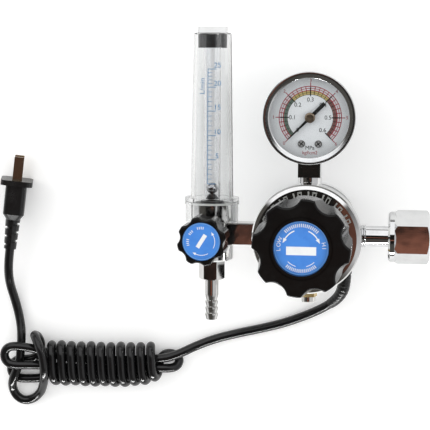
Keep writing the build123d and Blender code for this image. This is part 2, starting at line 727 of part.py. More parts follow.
pointer_z = dial_z + dial_thickness + 1.8
with BuildPart() as gauge_pointer:
    needle_plane = gauge_plane.offset(pointer_z).rotated((0, 0, pointer_rest))
    with BuildSketch(needle_plane) as needle:
        with BuildLine():
            Polyline((-pointer_tail, -1.2), (-2.0, -1.2), (0, -1.0), (pointer_length, -0.3),
                     (pointer_length, 0.3), (0, 1.0), (-2.0, 1.2), (-pointer_tail, 1.2), close=True)
        make_face()
    extrude(needle.sketch, amount=0.6)
    round_bar(gauge_plane.offset(pointer_z), 3.2, 1.6)
    round_bar(gauge_plane.offset(back_plate_z), arbor_radius, pointer_z - back_plate_z)
    round_bar(gauge_plane.offset(gear_z), pinion_radius, gear_height)
finish(gauge_pointer.part, "gauge_pointer")

with BuildPart() as gauge_lens:
    round_bar(gauge_plane.offset(lens_z), gauge_radius, lens_thickness)
finish(gauge_lens.part, "gauge_lens")

with BuildPart() as gauge_bezel:
    bezel_bottom = gauge_front - 9.0
    turned([(0, bezel_bottom), (gauge_bezel_radius, bezel_bottom), (gauge_bezel_radius, gauge_front),
            (0, gauge_front)], Plane.XZ.offset(-gauge_y), Axis((0, gauge_y, 0), (0, 0, 1)))
    for side in (1, -1):
        with BuildSketch(Plane(origin=(side * gauge_bezel_radius, gauge_y + 3.0, bezel_bottom))) as lug:
            Rectangle(1.6, 5.0)
        extrude(lug.sketch, amount=3.0)
    fillet(gauge_bezel.edges().group_by(Axis.Z)[-1], 1.8)
    round_bar(gauge_plane.offset(bezel_bottom), gauge_radius + snug_gap,
              gauge_front - lip - bezel_bottom, Mode.SUBTRACT)
    turned([(0, gauge_front), (window_radius + 1.9, gauge_front), (window_radius + 0.5, gauge_front - 0.9),
            (window_radius, gauge_front - lip), (0, gauge_front - lip)],
           Plane.XZ.offset(-gauge_y), Axis((0, gauge_y, 0), (0, 0, 1)), Mode.SUBTRACT)
    with BuildSketch(across_y(gauge_y - gauge_bezel_radius - 1.0)):
        with Locations((0, 0)):
            Rectangle(gauge_square + 0.4, gauge_square + 0.4)
    extrude(amount=4.0, mode=Mode.SUBTRACT)
finish(gauge_bezel.part, "gauge_bezel")

# ================================================================ relief valve
hex_end = -port_reach - relief_hex_length
relief_bore = 3.2
disc_radius = 2.8
disc_thickness = 1.5
disc_y = -port_reach - 1.5
with BuildPart() as relief_body:
    hex_bar(across_y(hex_end), relief_across_flats, relief_hex_length, turn=15)
    round_bar(across_y(-port_reach), 4.0, 6.5)
    round_bar(across_y(hex_end), relief_bore, disc_y - hex_end, Mode.SUBTRACT)
    round_bar(across_y(disc_y), 1.2, 12.0, Mode.SUBTRACT)
finish(relief_body.part, "relief_body")

with BuildPart() as relief_disc:
    round_bar(across_y(disc_y), disc_radius, -disc_thickness)
finish(relief_disc.part, "relief_disc")

cap_plug = 1.5
with BuildPart() as relief_spring:
    relief_spring_end = hex_end + cap_plug
    coil_spring(across_y(relief_spring_end), 2.0, 0.6, 3, disc_y - disc_thickness - relief_spring_end)
finish(relief_spring.part, "relief_spring")

with BuildPart() as relief_cap:
    round_bar(across_y(hex_end), relief_across_flats / 2 - 0.4, -relief_cap_length)
    chamfer(relief_cap.edges().group_by(Axis.Y)[0], 0.8)
    round_bar(across_y(hex_end), relief_bore - snug_gap, cap_plug)
    round_bar(across_y(hex_end - relief_cap_length), 0.8, relief_cap_length + cap_plug, Mode.SUBTRACT)
finish(relief_cap.part, "relief_cap")

# ================================================================ outlet arm and flow block
arm_end = flow_x + sqrt(block_radius ** 2 - (arm_width / 2 + 1.4) ** 2)
arm_spigot = 5.0
with BuildPart() as outlet_arm:
    with BuildSketch(across_x(arm_end)):
        Rectangle(arm_width, arm_width)
    extrude(amount=-port_reach - arm_end)
    chamfer(outlet_arm.edges().filter_by(Axis.X), 0.7)
    round_bar(across_x(arm_end - 5.0), arm_spigot, -port_reach - arm_end + 14.0)
    round_bar(across_x(arm_end - 5.0), 2.0, -port_reach - arm_end + 14.0, Mode.SUBTRACT)
finish(outlet_arm.part, "outlet_arm")

needle_seat_z = port_z - 1.5
gland_seat_z = port_z + block_front
annulus_x = -9.0
with BuildPart() as flow_block:
    round_bar(across_y(block_bottom, flow_x), block_radius, cover_skirt_end - block_bottom - 0.3)
    round_bar(across_y(0, flow_x), block_thread_radius, block_top)
    chamfer(flow_block.edges().group_by(Axis.Y)[0], 1.0)
    # flats for the arm and for the needle's gland nut
    with BuildSketch(Plane.XY.offset(gland_seat_z)) as front_flat:
        with Locations((flow_x, 0)):
            Rectangle(3 * block_radius, 14.0)
    extrude(front_flat.sketch, amount=5.0, mode=Mode.SUBTRACT)
    with BuildSketch(across_x(arm_end)) as cheek:
        Rectangle(arm_width + 2.0, 3 * block_radius)
    extrude(cheek.sketch, amount=5.0, mode=Mode.SUBTRACT)
    round_bar(across_x(arm_end), arm_spigot + snug_gap, -5.2, Mode.SUBTRACT)
    round_bar(across_x(arm_end), 1.5, flow_x - arm_end, Mode.SUBTRACT)
    needle_hub = Plane(origin=(flow_x, 0, gland_seat_z))
    round_bar(needle_hub, 5.0 + snug_gap, -(gland_seat_z - port_z - 1.5), Mode.SUBTRACT)
    round_bar(needle_hub, 2.2, needle_seat_z - gland_seat_z, Mode.SUBTRACT)
    round_bar(needle_hub, 1.2, -(block_front + 8.0), Mode.SUBTRACT)
    # from under the needle to the nozzle, then from round the tube to the hose tail
    round_bar(across_y(0, flow_x, port_z - 7.0), 1.2, 12.0, Mode.SUBTRACT)
    round_bar(Plane(origin=(flow_x, 12.0, port_z - 7.0)), 1.2, 7.0, Mode.SUBTRACT)
    round_bar(across_y(12.0, flow_x), 1.2, block_top - 12.0, Mode.SUBTRACT)
    round_bar(across_y(-12.0, flow_x + annulus_x), 1.2, block_top + 12.0, Mode.SUBTRACT)
    round_bar(Plane(origin=(flow_x + annulus_x, -12.0, port_z), x_dir=(0, 1, 0), z_dir=(1, 0, 0)),
              1.2, -annulus_x, Mode.SUBTRACT)
    round_bar(across_y(block_bottom, flow_x), 4.9 + snug_gap, 8.0, Mode.SUBTRACT)
finish(flow_block.part, "flow_block")

# ---------------------------------------------------------------- hose tail
with BuildPart() as hose_tail:
    hex_bar(across_y(hose_hex_end, flow_x), hose_hex_across_flats, block_bottom - hose_hex_end)
    hex_corner = hose_hex_across_flats / sqrt(3)
    with BuildSketch(port_plane) as crown:
        with BuildLine():
            Polyline((flow_x, block_bottom), (flow_x + hex_corner + 0.1, block_bottom),
                     (flow_x + hex_corner + 0.1, hose_hex_end + 1.0),
                     (flow_x + hose_hex_across_flats / 2 - 0.6, hose_hex_end),
                     (flow_x, hose_hex_end), close=True)
        make_face()
    revolve(crown.sketch, axis=flow_axis, mode=Mode.INTERSECT)
    round_bar(across_y(block_bottom, flow_x), 4.9, 7.5)
    tail = [(flow_x, hose_hex_end), (flow_x + hose_shank_radius, hose_hex_end),
            (flow_x + hose_shank_radius, hose_shank_end)]
    for i in range(barb_count):
        crest_y = hose_shank_end - i * barb_pitch
        if i:
            tail.append((flow_x + barb_root_radius, crest_y))
        tail.append((flow_x + barb_radius, crest_y - 0.01))
        tail.append((flow_x + barb_radius - barb_blunting, crest_y - 0.8))
        tail.append((flow_x + barb_root_radius, crest_y - barb_pitch + 0.3))
    tail.append((flow_x, hose_shank_end - barb_count * barb_pitch + 0.3))
    turned(tail, port_plane, flow_axis)
    round_bar(across_y(-70.0, flow_x), hose_bore_radius, 70.0, Mode.SUBTRACT)
finish(hose_tail.part, "hose_tail")

# ---------------------------------------------------------------- flow tube
seal_height = 1.2
seal_inner = cover_bottom_radius - cover_wall - 0.2
with BuildPart() as cover_seal:
    round_bar(across_y(block_top, flow_x), block_thread_radius, seal_height)
    round_bar(across_y(block_top, flow_x), seal_inner, seal_height, Mode.SUBTRACT)
finish(cover_seal.part, "cover_seal")

with BuildPart() as flow_cover:
    flange_y = block_top + seal_height - 1.0
    tube_start = flange_y + cover_flange_height
    outline = [(0, cover_top_y), (cover_boss_radius_top, cover_top_y),
               (cover_boss_radius_top, cover_shoulder_y), (cover_top_radius - 0.8, cover_shoulder_y),
               (cover_top_radius, cover_shoulder_y - 0.8), (cover_bottom_radius, tube_start),
               (cover_flange_radius, tube_start), (cover_flange_radius, flange_y),
               (cover_skirt_radius, flange_y), (cover_skirt_radius, cover_skirt_end), (0, cover_skirt_end)]
    turned([(flow_x + r, y) for r, y in outline], port_plane, flow_axis)
    bore = [(0, stopper_top), (cover_top_radius - cover_wall, stopper_top),
            (cover_bottom_radius - cover_wall, block_top + seal_height),
            (block_thread_radius + snug_gap, block_top + seal_height),
            (block_thread_radius + snug_gap, cover_skirt_end - 1.0), (0, cover_skirt_end - 1.0)]
    turned([(flow_x + r, y) for r, y in bore], port_plane, flow_axis, Mode.SUBTRACT)
finish(flow_cover.part, "flow_cover")

nozzle_top = block_top + nozzle_height
with BuildPart() as float_nozzle:
    spigot_radius = tube_bore_bottom - run_gap
    nozzle = [(0, block_top), (tube_radius + 3.2, block_top), (tube_radius + 2.2, tube_bottom),
              (spigot_radius, tube_bottom), (spigot_radius, tube_bottom + 1.6), (1.9, nozzle_top),
              (0, nozzle_top)]
    turned([(flow_x + r, y) for r, y in nozzle], port_plane, flow_axis)
    round_bar(across_y(block_top, flow_x), 1.2, nozzle_height, Mode.SUBTRACT)
finish(float_nozzle.part, "float_nozzle")

with BuildPart() as measuring_tube:
    wall = [(tube_bore_bottom, tube_bottom), (tube_radius, tube_bottom), (tube_radius, tube_top),
            (tube_bore_top, tube_top)]
    turned([(flow_x + r, y) for r, y in wall], port_plane, flow_axis)
finish(measuring_tube.part, "measuring_tube")

stopper_y = stopper_top - stopper_height
with BuildPart() as tube_stopper:
    round_bar(across_y(stopper_y, flow_x), stopper_radius, stopper_height)
    round_bar(across_y(stopper_y, flow_x), tube_radius + snug_gap, tube_top - stopper_y, Mode.SUBTRACT)
    round_bar(across_y(stopper_y, flow_x), 2.2, stopper_height - 2.0, Mode.SUBTRACT)
finish(tube_stopper.part, "tube_stopper")

ball_y = nozzle_top + sqrt(ball_radius ** 2 - 1.2 ** 2) + free_gap
with BuildPart() as float_ball:
    with Locations((flow_x, ball_y, port_z)):
        Sphere(ball_radius)
finish(float_ball.part, "float_ball")

# ---------------------------------------------------------------- needle valve
gland_bottom = port_z + 1.5 + 3.0
seal_width = 1.2
groove_z = gland_seat_z + 1.0
gland_plane = Plane(origin=(flow_x, 0, gland_seat_z))
with BuildPart() as needle_gland:
    hex_bar(gland_plane, gland_across_flats, gland_height, turn=0)
    round_bar(gland_plane, 5.0, gland_bottom - gland_seat_z)
    round_bar(Plane(origin=(flow_x, 0, gland_bottom)), needle_radius + run_gap, 20.0, Mode.SUBTRACT)
finish(needle_gland.part, "needle_gland")

groove_radius = needle_radius - 0.9
with BuildPart() as needle_seal:
    seal_plane = Plane(origin=(flow_x, 0, groove_z))
    round_bar(seal_plane, needle_radius, seal_width)
    round_bar(seal_plane, groove_radius + run_gap, seal_width, Mode.SUBTRACT)
finish(needle_seal.part, "needle_seal")

flow_front = flow_knob_back + flow_knob_height
flow_label_floor = flow_front - flow_label_recess
needle_top = flow_label_floor - 3.0
with BuildPart() as flow_needle:
    tip_z = needle_seat_z - 0.9
    shaft = [(0, tip_z), (0.6, tip_z), (1.9, needle_seat_z + 1.4), (1.9, needle_seat_z + 3.2),
             (needle_radius, needle_seat_z + 3.5),
             (needle_radius, groove_z - 0.1), (groove_radius, groove_z - 0.1),
             (groove_radius, groove_z + seal_width + 0.1), (needle_radius, groove_z + seal_width + 0.1),
             (needle_radius, needle_top), (0, needle_top)]
    turned([(flow_x + r, z) for r, z in shaft], Plane.XZ, Axis((flow_x, 0, 0), (0, 0, 1)))
finish(flow_needle.part, "flow_needle")

with BuildPart() as flow_knob:
    knob_base = Plane(origin=(flow_x, 0, flow_knob_back))
    lobed_knob(knob_base, flow_knob_radius, flow_knob_height, flow_scallop_radius,
               flow_scallop_centre, 37.5, 1.8)
    fillet(flow_knob.faces().sort_by(Axis.Z)[-1].edges(), 1.4)
    round_bar(knob_base, flow_knob_radius - 5.0, flow_knob_height - 8.0, Mode.SUBTRACT)
    round_bar(knob_base, needle_radius + 3.0, flow_knob_height - 8.0)
    round_bar(knob_base, needle_radius + snug_gap, needle_top - flow_knob_back, Mode.SUBTRACT)
    round_bar(Plane(origin=(flow_x, 0, flow_label_floor)), flow_label_radius + 0.1, 5.0, Mode.SUBTRACT)
finish(flow_knob.part, "flow_knob")

with BuildPart() as flow_knob_label:
    round_bar(Plane(origin=(flow_x, 0, flow_label_floor)), flow_label_radius, label_thickness)
finish(flow_knob_label.part, "flow_knob_label")

# ================================================================ mains lead
with BuildPart() as cord_gland:
    round_bar(across_y(gland_end, gland_x, gland_z), gland_radius + 0.9, gland_boss_end - gland_end)
    round_bar(across_y(gland_end, gland_x, gland_z), gland_radius, 15.0)
    chamfer(cord_gland.edges().group_by(Axis.Y)[0], 0.8)
finish(cord_gland.part, "cord_gland")

# The cord's route, chosen by hand: floor points lie one cord radius up.
run_points = [
    (gland_x, gland_end, gland_z), (gland_x, -36.0, gland_z), (20.4, -42.3, 14.2), (16.4, -48.2, 11.2),
    (10.0, -53.2, 8.0), (1.8, -58.0, 5.4), (-8.4, -62.7, 3.8), (-21.0, -67.5, 3.1), (-35.0, -71.3, 3.1),
    (-51.0, -75.1, 3.1), (-67.0, -79.5, 3.6), (-80.0, -84.5, 6.2), (-90.5, -89.5, 9.2),
]
plug_direction = Vector(sin(radians(plug_tilt)), cos(radians(plug_tilt)), 0)
plug_start = Vector(-209.4, -18.6, plug_height)
lead_points = [
    (-203.8, -81.5, 7.8), (-204.9, -73.3, 5.6), (-207.2, -64.3, 4.0), (-209.8, -54.3, 4.6),
    (-211.6, -44.9, 8.0), (-211.4, -36.1, 12.0), tuple(plug_start - plug_direction * 8.5), tuple(plug_start),
]


def bend_radii(points):
    """Radius at each inner point: 0.45 of the shorter run, over the tangent of half the turn."""
    radii = []
    for before, here, after in zip(points, points[1:], points[2:]):
        run_in = Vector(*here) - Vector(*before)
        run_out = Vector(*after) - Vector(*here)
        turn = radians(run_in.get_angle(run_out))
        radii.append(0.45 * min(run_in.length, run_out.length) / tan(turn / 2))
    return radii


def cord_tube(points, name):
    """Tube of the open part along straight runs joined by tangent arcs; prints its bends and volume."""
    radii = bend_radii(points)
    with BuildLine() as route:
        FilletPolyline(*points, radius=radii)
    path = route.wire()
    with BuildSketch(Plane(origin=path @ 0, z_dir=path % 0)) as section:
        Circle(cord_radius)
    sweep(section.sketch, path=path)
    print(name, "length", round(path.length, 1), "radii", [round(radius) for radius in radii])
    return path.length


with BuildPart() as cord_run:
    run_length = cord_tube(run_points, "cord_run")
print("cord_run volume ratio", round(cord_run.part.volume / (pi * cord_radius ** 2 * run_length), 4))
finish(cord_run.part, "cord_run")

with BuildPart() as cord_lead:
    lead_length = cord_tube(lead_points, "cord_lead")
print("cord_lead volume ratio", round(cord_lead.part.volume / (pi * cord_radius ** 2 * lead_length), 4))
finish(cord_lead.part, "cord_lead")

# Outer shape of the hank: wrapped bar with a narrower last turn and a bight at its right end, then a high
# turn over its left end, two loops beyond it and a ring that lies on the floor.
wrap_height = 20.2
high_turn_height = 24.6
loop_height = 18.8
ring_height = 14.0
with BuildPart() as cord_hank:
    with BuildSketch(across_x(-184.0, wrap_height / 2)):
        with Locations((-98.9, 0)):
            RectangleRounded(32.2, wrap_height, 9.5)
    extrude(amount=72.0)
    with BuildSketch(across_x(-113.0, wrap_height / 2)):
        with Locations((-96.2, 0)):
            RectangleRounded(27.4, wrap_height, 9.5)
    extrude(amount=12.5)
    with BuildSketch(across_x(-104.0, 7.2)):
        with Locations((-95.6, 0)):
            RectangleRounded(14.4, 14.2, 6.5)
    extrude(amount=14.8)
    with BuildSketch(Plane.XY):
        with Locations((-189.0, -95.9)):
            RectangleRounded(16.0, 40.0, 6.0)
    extrude(amount=high_turn_height)
    with BuildSketch(Plane.XY):
        with Locations((-202.0, -99.5)):
            RectangleRounded(32.0, 32.6, 9.0)
    extrude(amount=loop_height)
    with BuildSketch(Plane.XY):
        with Locations((-200.7, -117.3)):
            RectangleRounded(28.2, 31.0, 12.0)
        with Locations((-200.7, -120.4)):
            RectangleRounded(14.0, 12.0, 5.0, mode=Mode.SUBTRACT)
    extrude(amount=ring_height)
finish(cord_hank.part, "cord_hank")


# ---------------------------------------------------------------- plug
def plug_plane(distance):
    """Plane square to the plug's axis, that far past the end of its strain relief; own x across it."""
    level = Vector(cos(radians(plug_tilt)), -sin(radians(plug_tilt)), 0)
    across = level * cos(radians(plug_roll)) - Vector(0, 0, 1) * sin(radians(plug_roll))
    return Plane(origin=plug_start + plug_direction * distance, x_dir=across, z_dir=plug_direction)


relief_length = 21.0
relief_notches = 6
notch_length = 1.9
plug_body_length = 24.0
plug_flange_length = 3.6
with BuildPart() as plug_body:
    with BuildSketch(plug_plane(0)) as small_end:
        Circle(cord_radius + 1.1)
    with BuildSketch(plug_plane(relief_length)) as large_end:
        Circle(cord_radius + 2.0)
    loft([small_end.sketch.face(), large_end.sketch.face()])
    for i in range(relief_notches):
        side = 1 if i % 2 else -1
        with BuildSketch(plug_plane(1.8 + i * (relief_length - 3.0) / relief_notches)) as notch:
            with Locations((side * 6.0, 0)):
                Rectangle(12.0, 16.0)
            Circle(cord_radius + 0.3, mode=Mode.SUBTRACT)
        extrude(notch.sketch, amount=notch_length, mode=Mode.SUBTRACT)
    with BuildSketch(plug_plane(relief_length)) as narrow:
        RectangleRounded(9.0, 15.0, 3.0)
    with BuildSketch(plug_plane(relief_length + 4.0)) as wide_part:
        RectangleRounded(14.2, 21.0, 3.0)
    loft([narrow.sketch.face(), wide_part.sketch.face()])
    extrude(wide_part.sketch, amount=plug_body_length - 4.0)
    with BuildSketch(plug_plane(relief_length + plug_body_length)) as flange:
        RectangleRounded(21.7, 25.6, 4.0)
    extrude(flange.sketch, amount=plug_flange_length)
finish(plug_body.part, "plug_body")

with BuildPart() as plug_blades:
    blade_plane = plug_plane(relief_length + plug_body_length + plug_flange_length)
    with BuildSketch(blade_plane) as blade_section:
        with Locations((0, blade_spacing / 2), (0, -blade_spacing / 2)):
            Rectangle(blade_width, blade_thickness)
    extrude(blade_section.sketch, amount=blade_length)
finish(plug_blades.part, "plug_blades")
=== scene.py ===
import bpy
import numpy as np
from mathutils import Matrix, Vector


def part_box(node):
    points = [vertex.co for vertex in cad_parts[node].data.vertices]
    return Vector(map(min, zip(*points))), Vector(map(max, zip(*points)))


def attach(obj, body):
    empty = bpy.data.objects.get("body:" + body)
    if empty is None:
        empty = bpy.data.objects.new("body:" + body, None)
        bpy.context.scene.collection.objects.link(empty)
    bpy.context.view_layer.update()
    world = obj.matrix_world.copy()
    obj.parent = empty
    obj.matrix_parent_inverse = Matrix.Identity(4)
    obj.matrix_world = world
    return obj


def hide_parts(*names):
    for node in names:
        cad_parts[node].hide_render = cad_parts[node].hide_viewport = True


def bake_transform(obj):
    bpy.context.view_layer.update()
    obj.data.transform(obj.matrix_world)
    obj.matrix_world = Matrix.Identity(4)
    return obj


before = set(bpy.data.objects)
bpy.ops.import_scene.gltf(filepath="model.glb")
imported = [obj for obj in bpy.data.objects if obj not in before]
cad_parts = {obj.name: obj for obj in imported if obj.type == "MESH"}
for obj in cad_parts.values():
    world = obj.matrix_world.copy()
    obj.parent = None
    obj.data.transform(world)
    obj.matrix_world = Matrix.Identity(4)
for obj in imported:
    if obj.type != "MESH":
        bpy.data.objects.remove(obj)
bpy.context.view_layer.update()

# ---------------------------------------------------------------- camera, table and light
# The regulator lies on its back on a pale table under even white light. The plated faces mirror a dim room:
# those that look straight up show a dark ceiling and brown furniture, those that lean to the far side show
# a bright window, and those that lean to the near side show the table.
scene = bpy.context.scene
scene.view_settings.view_transform = "Standard"


def place_camera(target, distance, lean_right, lean_up, roll):
    """A camera at a distance from its target. It leans from straight above by two angles in degrees, and is
    then turned about its own line of sight."""
    lean_right, lean_up, roll = np.radians([lean_right, lean_up, roll])
    back = np.array([np.tan(lean_right), np.tan(lean_up), 1.0])
    back /= np.linalg.norm(back)
    right = np.cross((0.0, 1.0, 0.0), back)
    right /= np.linalg.norm(right)
    up = np.cross(back, right)
    right, up = right * np.cos(roll) + up * np.sin(roll), up * np.cos(roll) - right * np.sin(roll)
    turned = np.eye(4)
    turned[:3, :3] = np.stack([right, up, back], axis=1)
    turned[:3, 3] = np.array(target) + back * distance
    camera = bpy.data.objects.new("camera", bpy.data.cameras.new("camera"))
    scene.collection.objects.link(camera)
    camera.matrix_world = Matrix(turned.tolist())
    camera.data.sensor_width = 36.0
    camera.data.lens = 108.84
    camera.data.clip_end = 20.0
    scene.camera = camera


place_camera(target=(-0.06125, 0.01148, 0.046), distance=0.845, lean_right=8.32, lean_up=6.73, roll=0.26)


def put(tree, kind, inputs=(), **settings):
    """A shader node: settings are its properties, and inputs gives each named socket a value or a link."""
    node = tree.nodes.new("ShaderNode" + kind)
    for key, value in settings.items():
        setattr(node, key, value)
    for key, value in dict(inputs).items():
        if isinstance(value, bpy.types.NodeSocket):
            tree.links.new(value, node.inputs[key])
        else:
            node.inputs[key].default_value = value
    return node


def ramp_between(tree, value, low, high):
    """0 below low, 1 above high, and a smooth step between."""
    node = put(tree, "MapRange", {0: value, 1: low, 2: high}, interpolation_type="SMOOTHSTEP")
    return node.outputs[0]


def math_node(tree, operation, first, second=0.0):
    """One arithmetic step on two values."""
    return put(tree, "Math", {0: first, 1: second}, operation=operation).outputs[0]


def hang_studio():
    """Even white light on everything, and for shiny surfaces a dim room: black straight overhead, with a
    brown cabinet towards the near edge and a dimmer brown cupboard to the right; a big bright window beyond
    the far edge, greyer walls at the sides and a pale skirting. Each has soft edges, given as limits of x, y
    or z of a direction, or of how far it leans from straight up: x or y divided by z."""
    world = bpy.data.worlds.new("studio")
    scene.world = world
    world.use_nodes = True
    tree = world.node_tree
    x, y, z = put(tree, "SeparateXYZ", {0: put(tree, "TexCoord").outputs["Generated"]}).outputs
    height = math_node(tree, "MAXIMUM", z, 0.05)
    lean_x, lean_y = math_node(tree, "DIVIDE", x, height), math_node(tree, "DIVIDE", y, height)
    beside = math_node(tree, "ABSOLUTE", x)
    across = math_node(tree, "ABSOLUTE", y)

    def fade(value, low, high):
        return ramp_between(tree, value, low, high)

    def both(first, second):
        return math_node(tree, "MULTIPLY", first, second)

    def lay(under, amount, colour):
        return put(tree, "Mix", {0: amount, 6: under, 7: (*colour, 1)}, data_type="RGBA").outputs[2]

    overhead = both(fade(z, 0.86, 0.93), fade(lean_y, 0.30, 0.20))
    cabinet = both(fade(lean_y, -0.116, -0.142), fade(lean_x, -0.152, -0.105))
    cabinet = both(cabinet, both(fade(lean_y, -0.23, -0.19), fade(lean_x, 0.14, 0.08)))
    cabinet = both(cabinet, both(fade(z, 0.78, 0.88), fade(beside, 0.50, 0.40)))
    cupboard = both(fade(lean_x, 0.05, 0.09), fade(lean_x, 0.26, 0.21))
    cupboard = both(cupboard, both(fade(lean_y, -0.31, -0.25), fade(lean_y, 0.08, 0.03)))
    cabinet = math_node(tree, "MAXIMUM", cabinet, both(cupboard, 0.38))
    window = both(fade(y, 0.20, 0.29), fade(beside, 0.62, 0.50))
    window = both(window, both(fade(z, 0.16, 0.22), fade(z, 0.97, 0.95)))
    right_wall = both(fade(x, 0.28, 0.48), fade(across, 0.70, 0.55))
    left_wall = both(fade(x, -0.36, -0.62), fade(across, 0.70, 0.55))
    left_wall = both(left_wall, fade(z, 0.55, 0.38))
    skirting = both(fade(z, 0.13, 0.06), fade(y, -0.85, -0.70))
    room = lay((0.075, 0.070, 0.063, 1), skirting, (0.42, 0.42, 0.42))
    room = lay(room, right_wall, (0.60, 0.60, 0.61))
    room = lay(room, left_wall, (0.70, 0.70, 0.71))
    room = lay(room, window, (1.15, 1.15, 1.17))
    room = lay(room, overhead, (0.011, 0.010, 0.009))
    room = lay(room, cabinet, (0.265, 0.105, 0.070))
    path = put(tree, "LightPath").outputs
    shiny = math_node(tree, "MAXIMUM", path["Is Glossy Ray"], path["Is Singular Ray"])
    seen = put(tree, "Mix", {0: shiny, 6: (1.0, 1.0, 1.0, 1), 7: room}, data_type="RGBA").outputs[2]
    tree.links.new(seen, tree.nodes["Background"].inputs[0])
    tree.nodes["Background"].inputs[1].default_value = 1.0


hang_studio()


def soft_light(name, place, aim, width, height, power, mirrored):
    """A rectangular soft box at a place, facing a point. It is there either only for shiny surfaces to
    mirror, or only to give light."""
    lamp = bpy.data.lights.new(name, "AREA")
    lamp.shape, lamp.size, lamp.size_y, lamp.energy = "RECTANGLE", width, height, power
    box = bpy.data.objects.new(name, lamp)
    scene.collection.objects.link(box)
    way = Vector(aim) - Vector(place)
    box.matrix_world = Matrix.Translation(place) @ way.to_track_quat("-Z", "Y").to_matrix().to_4x4()
    box.visible_glossy, box.visible_diffuse = mirrored, not mirrored


soft_light("left_box", place=(-0.95, 0.35, 0.75), aim=(-0.05, 0.0, 0.0), width=0.55, height=0.75, power=2.0,
           mirrored=False)
soft_light("right_box", place=(0.95, 0.10, 0.80), aim=(-0.05, 0.0, 0.0), width=0.45, height=0.75, power=2.0,
           mirrored=False)
soft_light("near_box", place=(-0.10, -0.90, 0.30), aim=(-0.10, 0.0, 0.02), width=0.90, height=0.07,
           power=9.0, mirrored=True)


def new_mesh(name, points, faces, smooth=True):
    """An object at the origin with these points and faces, smooth or flat."""
    mesh = bpy.data.meshes.new(name)
    mesh.from_pydata(np.asarray(points, float).reshape(-1, 3).tolist(), [], faces)
    mesh.polygons.foreach_set("use_smooth", np.full(len(mesh.polygons), smooth))
    mesh.update()
    made = bpy.data.objects.new(name, mesh)
    scene.collection.objects.link(made)
    return made


def start_finish(name, colour, **plain):
    """A material with one Principled shader and plain socket values, together with its tree and shader."""
    made = bpy.data.materials.new(name)
    made.use_nodes = True
    shader = made.node_tree.nodes["Principled BSDF"]
    shader.inputs["Base Color"].default_value = (*colour, 1.0)
    for socket, value in plain.items():
        shader.inputs[socket.replace("_", " ")].default_value = value
    return made, made.node_tree, shader


table = new_mesh("table_top", [(-3, -3, 0), (3, -3, 0), (3, 3, 0), (-3, 3, 0)], [(0, 1, 2, 3)])
paper, tree, shader = start_finish("table_paper", (0.93, 0.93, 0.925), Roughness=0.75,
                                   Specular_IOR_Level=0.25)
spot = put(tree, "TexCoord").outputs["Object"]
cloud = put(tree, "TexNoise", {"Vector": spot, "Scale": 1.2, "Detail": 2.0}).outputs[0]
tint = put(tree, "Mix", {0: cloud, 6: (0.92, 0.92, 0.915, 1), 7: (0.94, 0.94, 0.935, 1)}, data_type="RGBA")
tree.links.new(tint.outputs[2], shader.inputs["Base Color"])
glow = math_node(tree, "MULTIPLY", put(tree, "LightPath").outputs["Is Camera Ray"], 0.17)
shader.inputs["Emission Color"].default_value = (1.0, 1.0, 1.0, 1.0)
tree.links.new(glow, shader.inputs["Emission Strength"])
table.data.materials.append(paper)

# ---------------------------------------------------------------- heater housing
# Cast alloy cup behind the body, with a flat back cover held by three countersunk screws. It holds the
# heater block, its two elements, the thermostat and the terminal block. The casting is satin, with shallow
# mottling.
surface_wear = bpy.data.node_groups.new("surface_wear", "ShaderNodeTree")
for label, kind, value in (("Colour", "Color", (0.8, 0.8, 0.8, 1)),
                           ("Worn Colour", "Color", (0.6, 0.6, 0.6, 1)),
                           ("Roughness", "Float", 0.3), ("Spread", "Float", 0.1),
                           ("Patch Scale", "Float", 60.0), ("Grain Scale", "Float", 1500.0)):
    taken = surface_wear.interface.new_socket(label, in_out="INPUT", socket_type="NodeSocket" + kind)
    taken.default_value = value
for label, kind in (("Colour", "Color"), ("Roughness", "Float"), ("Height", "Float")):
    surface_wear.interface.new_socket(label, in_out="OUTPUT", socket_type="NodeSocket" + kind)
given = surface_wear.nodes.new("NodeGroupInput").outputs
spot = put(surface_wear, "TexCoord").outputs["Object"]
patches = put(surface_wear, "TexNoise", {"Vector": spot, "Scale": given["Patch Scale"], "Detail": 5.0,
                                         "Roughness": 0.62})
grain = put(surface_wear, "TexNoise", {"Vector": spot, "Scale": given["Grain Scale"], "Detail": 3.0})
patch_mask = ramp_between(surface_wear, patches.outputs[0], 0.42, 0.72)
mixed = put(surface_wear, "Mix", {0: patch_mask, 6: given["Colour"], 7: given["Worn Colour"]},
            data_type="RGBA")
rough = math_node(surface_wear, "MULTIPLY", math_node(surface_wear, "SUBTRACT", patches.outputs[0], 0.42),
                  given["Spread"])
rough = math_node(surface_wear, "MAXIMUM", math_node(surface_wear, "ADD", given["Roughness"], rough), 0.01)
handed_out = surface_wear.nodes.new("NodeGroupOutput").inputs
surface_wear.links.new(mixed.outputs[2], handed_out["Colour"])
surface_wear.links.new(rough, handed_out["Roughness"])
surface_wear.links.new(grain.outputs[0], handed_out["Height"])

turning_marks = bpy.data.node_groups.new("turning_marks", "ShaderNodeTree")
turning_marks.interface.new_socket("Vector", in_out="INPUT", socket_type="NodeSocketVector")
taken = turning_marks.interface.new_socket("Lines", in_out="INPUT", socket_type="NodeSocketFloat")
taken.default_value = 4000.0
turning_marks.interface.new_socket("Height", in_out="OUTPUT", socket_type="NodeSocketFloat")
given = turning_marks.nodes.new("NodeGroupInput").outputs
across, along, _ = put(turning_marks, "SeparateXYZ", {0: given["Vector"]}).outputs
flat = put(turning_marks, "CombineXYZ", {0: across, 1: along}).outputs[0]
reach = put(turning_marks, "VectorMath", {0: flat}, operation="LENGTH").outputs["Value"]
spot = put(turning_marks, "CombineXYZ", {0: reach}).outputs[0]
lines = put(turning_marks, "TexNoise", {"Vector": spot, "Scale": given["Lines"], "Detail": 2.0})
turning_marks.links.new(lines.outputs[0], turning_marks.nodes.new("NodeGroupOutput").inputs["Height"])


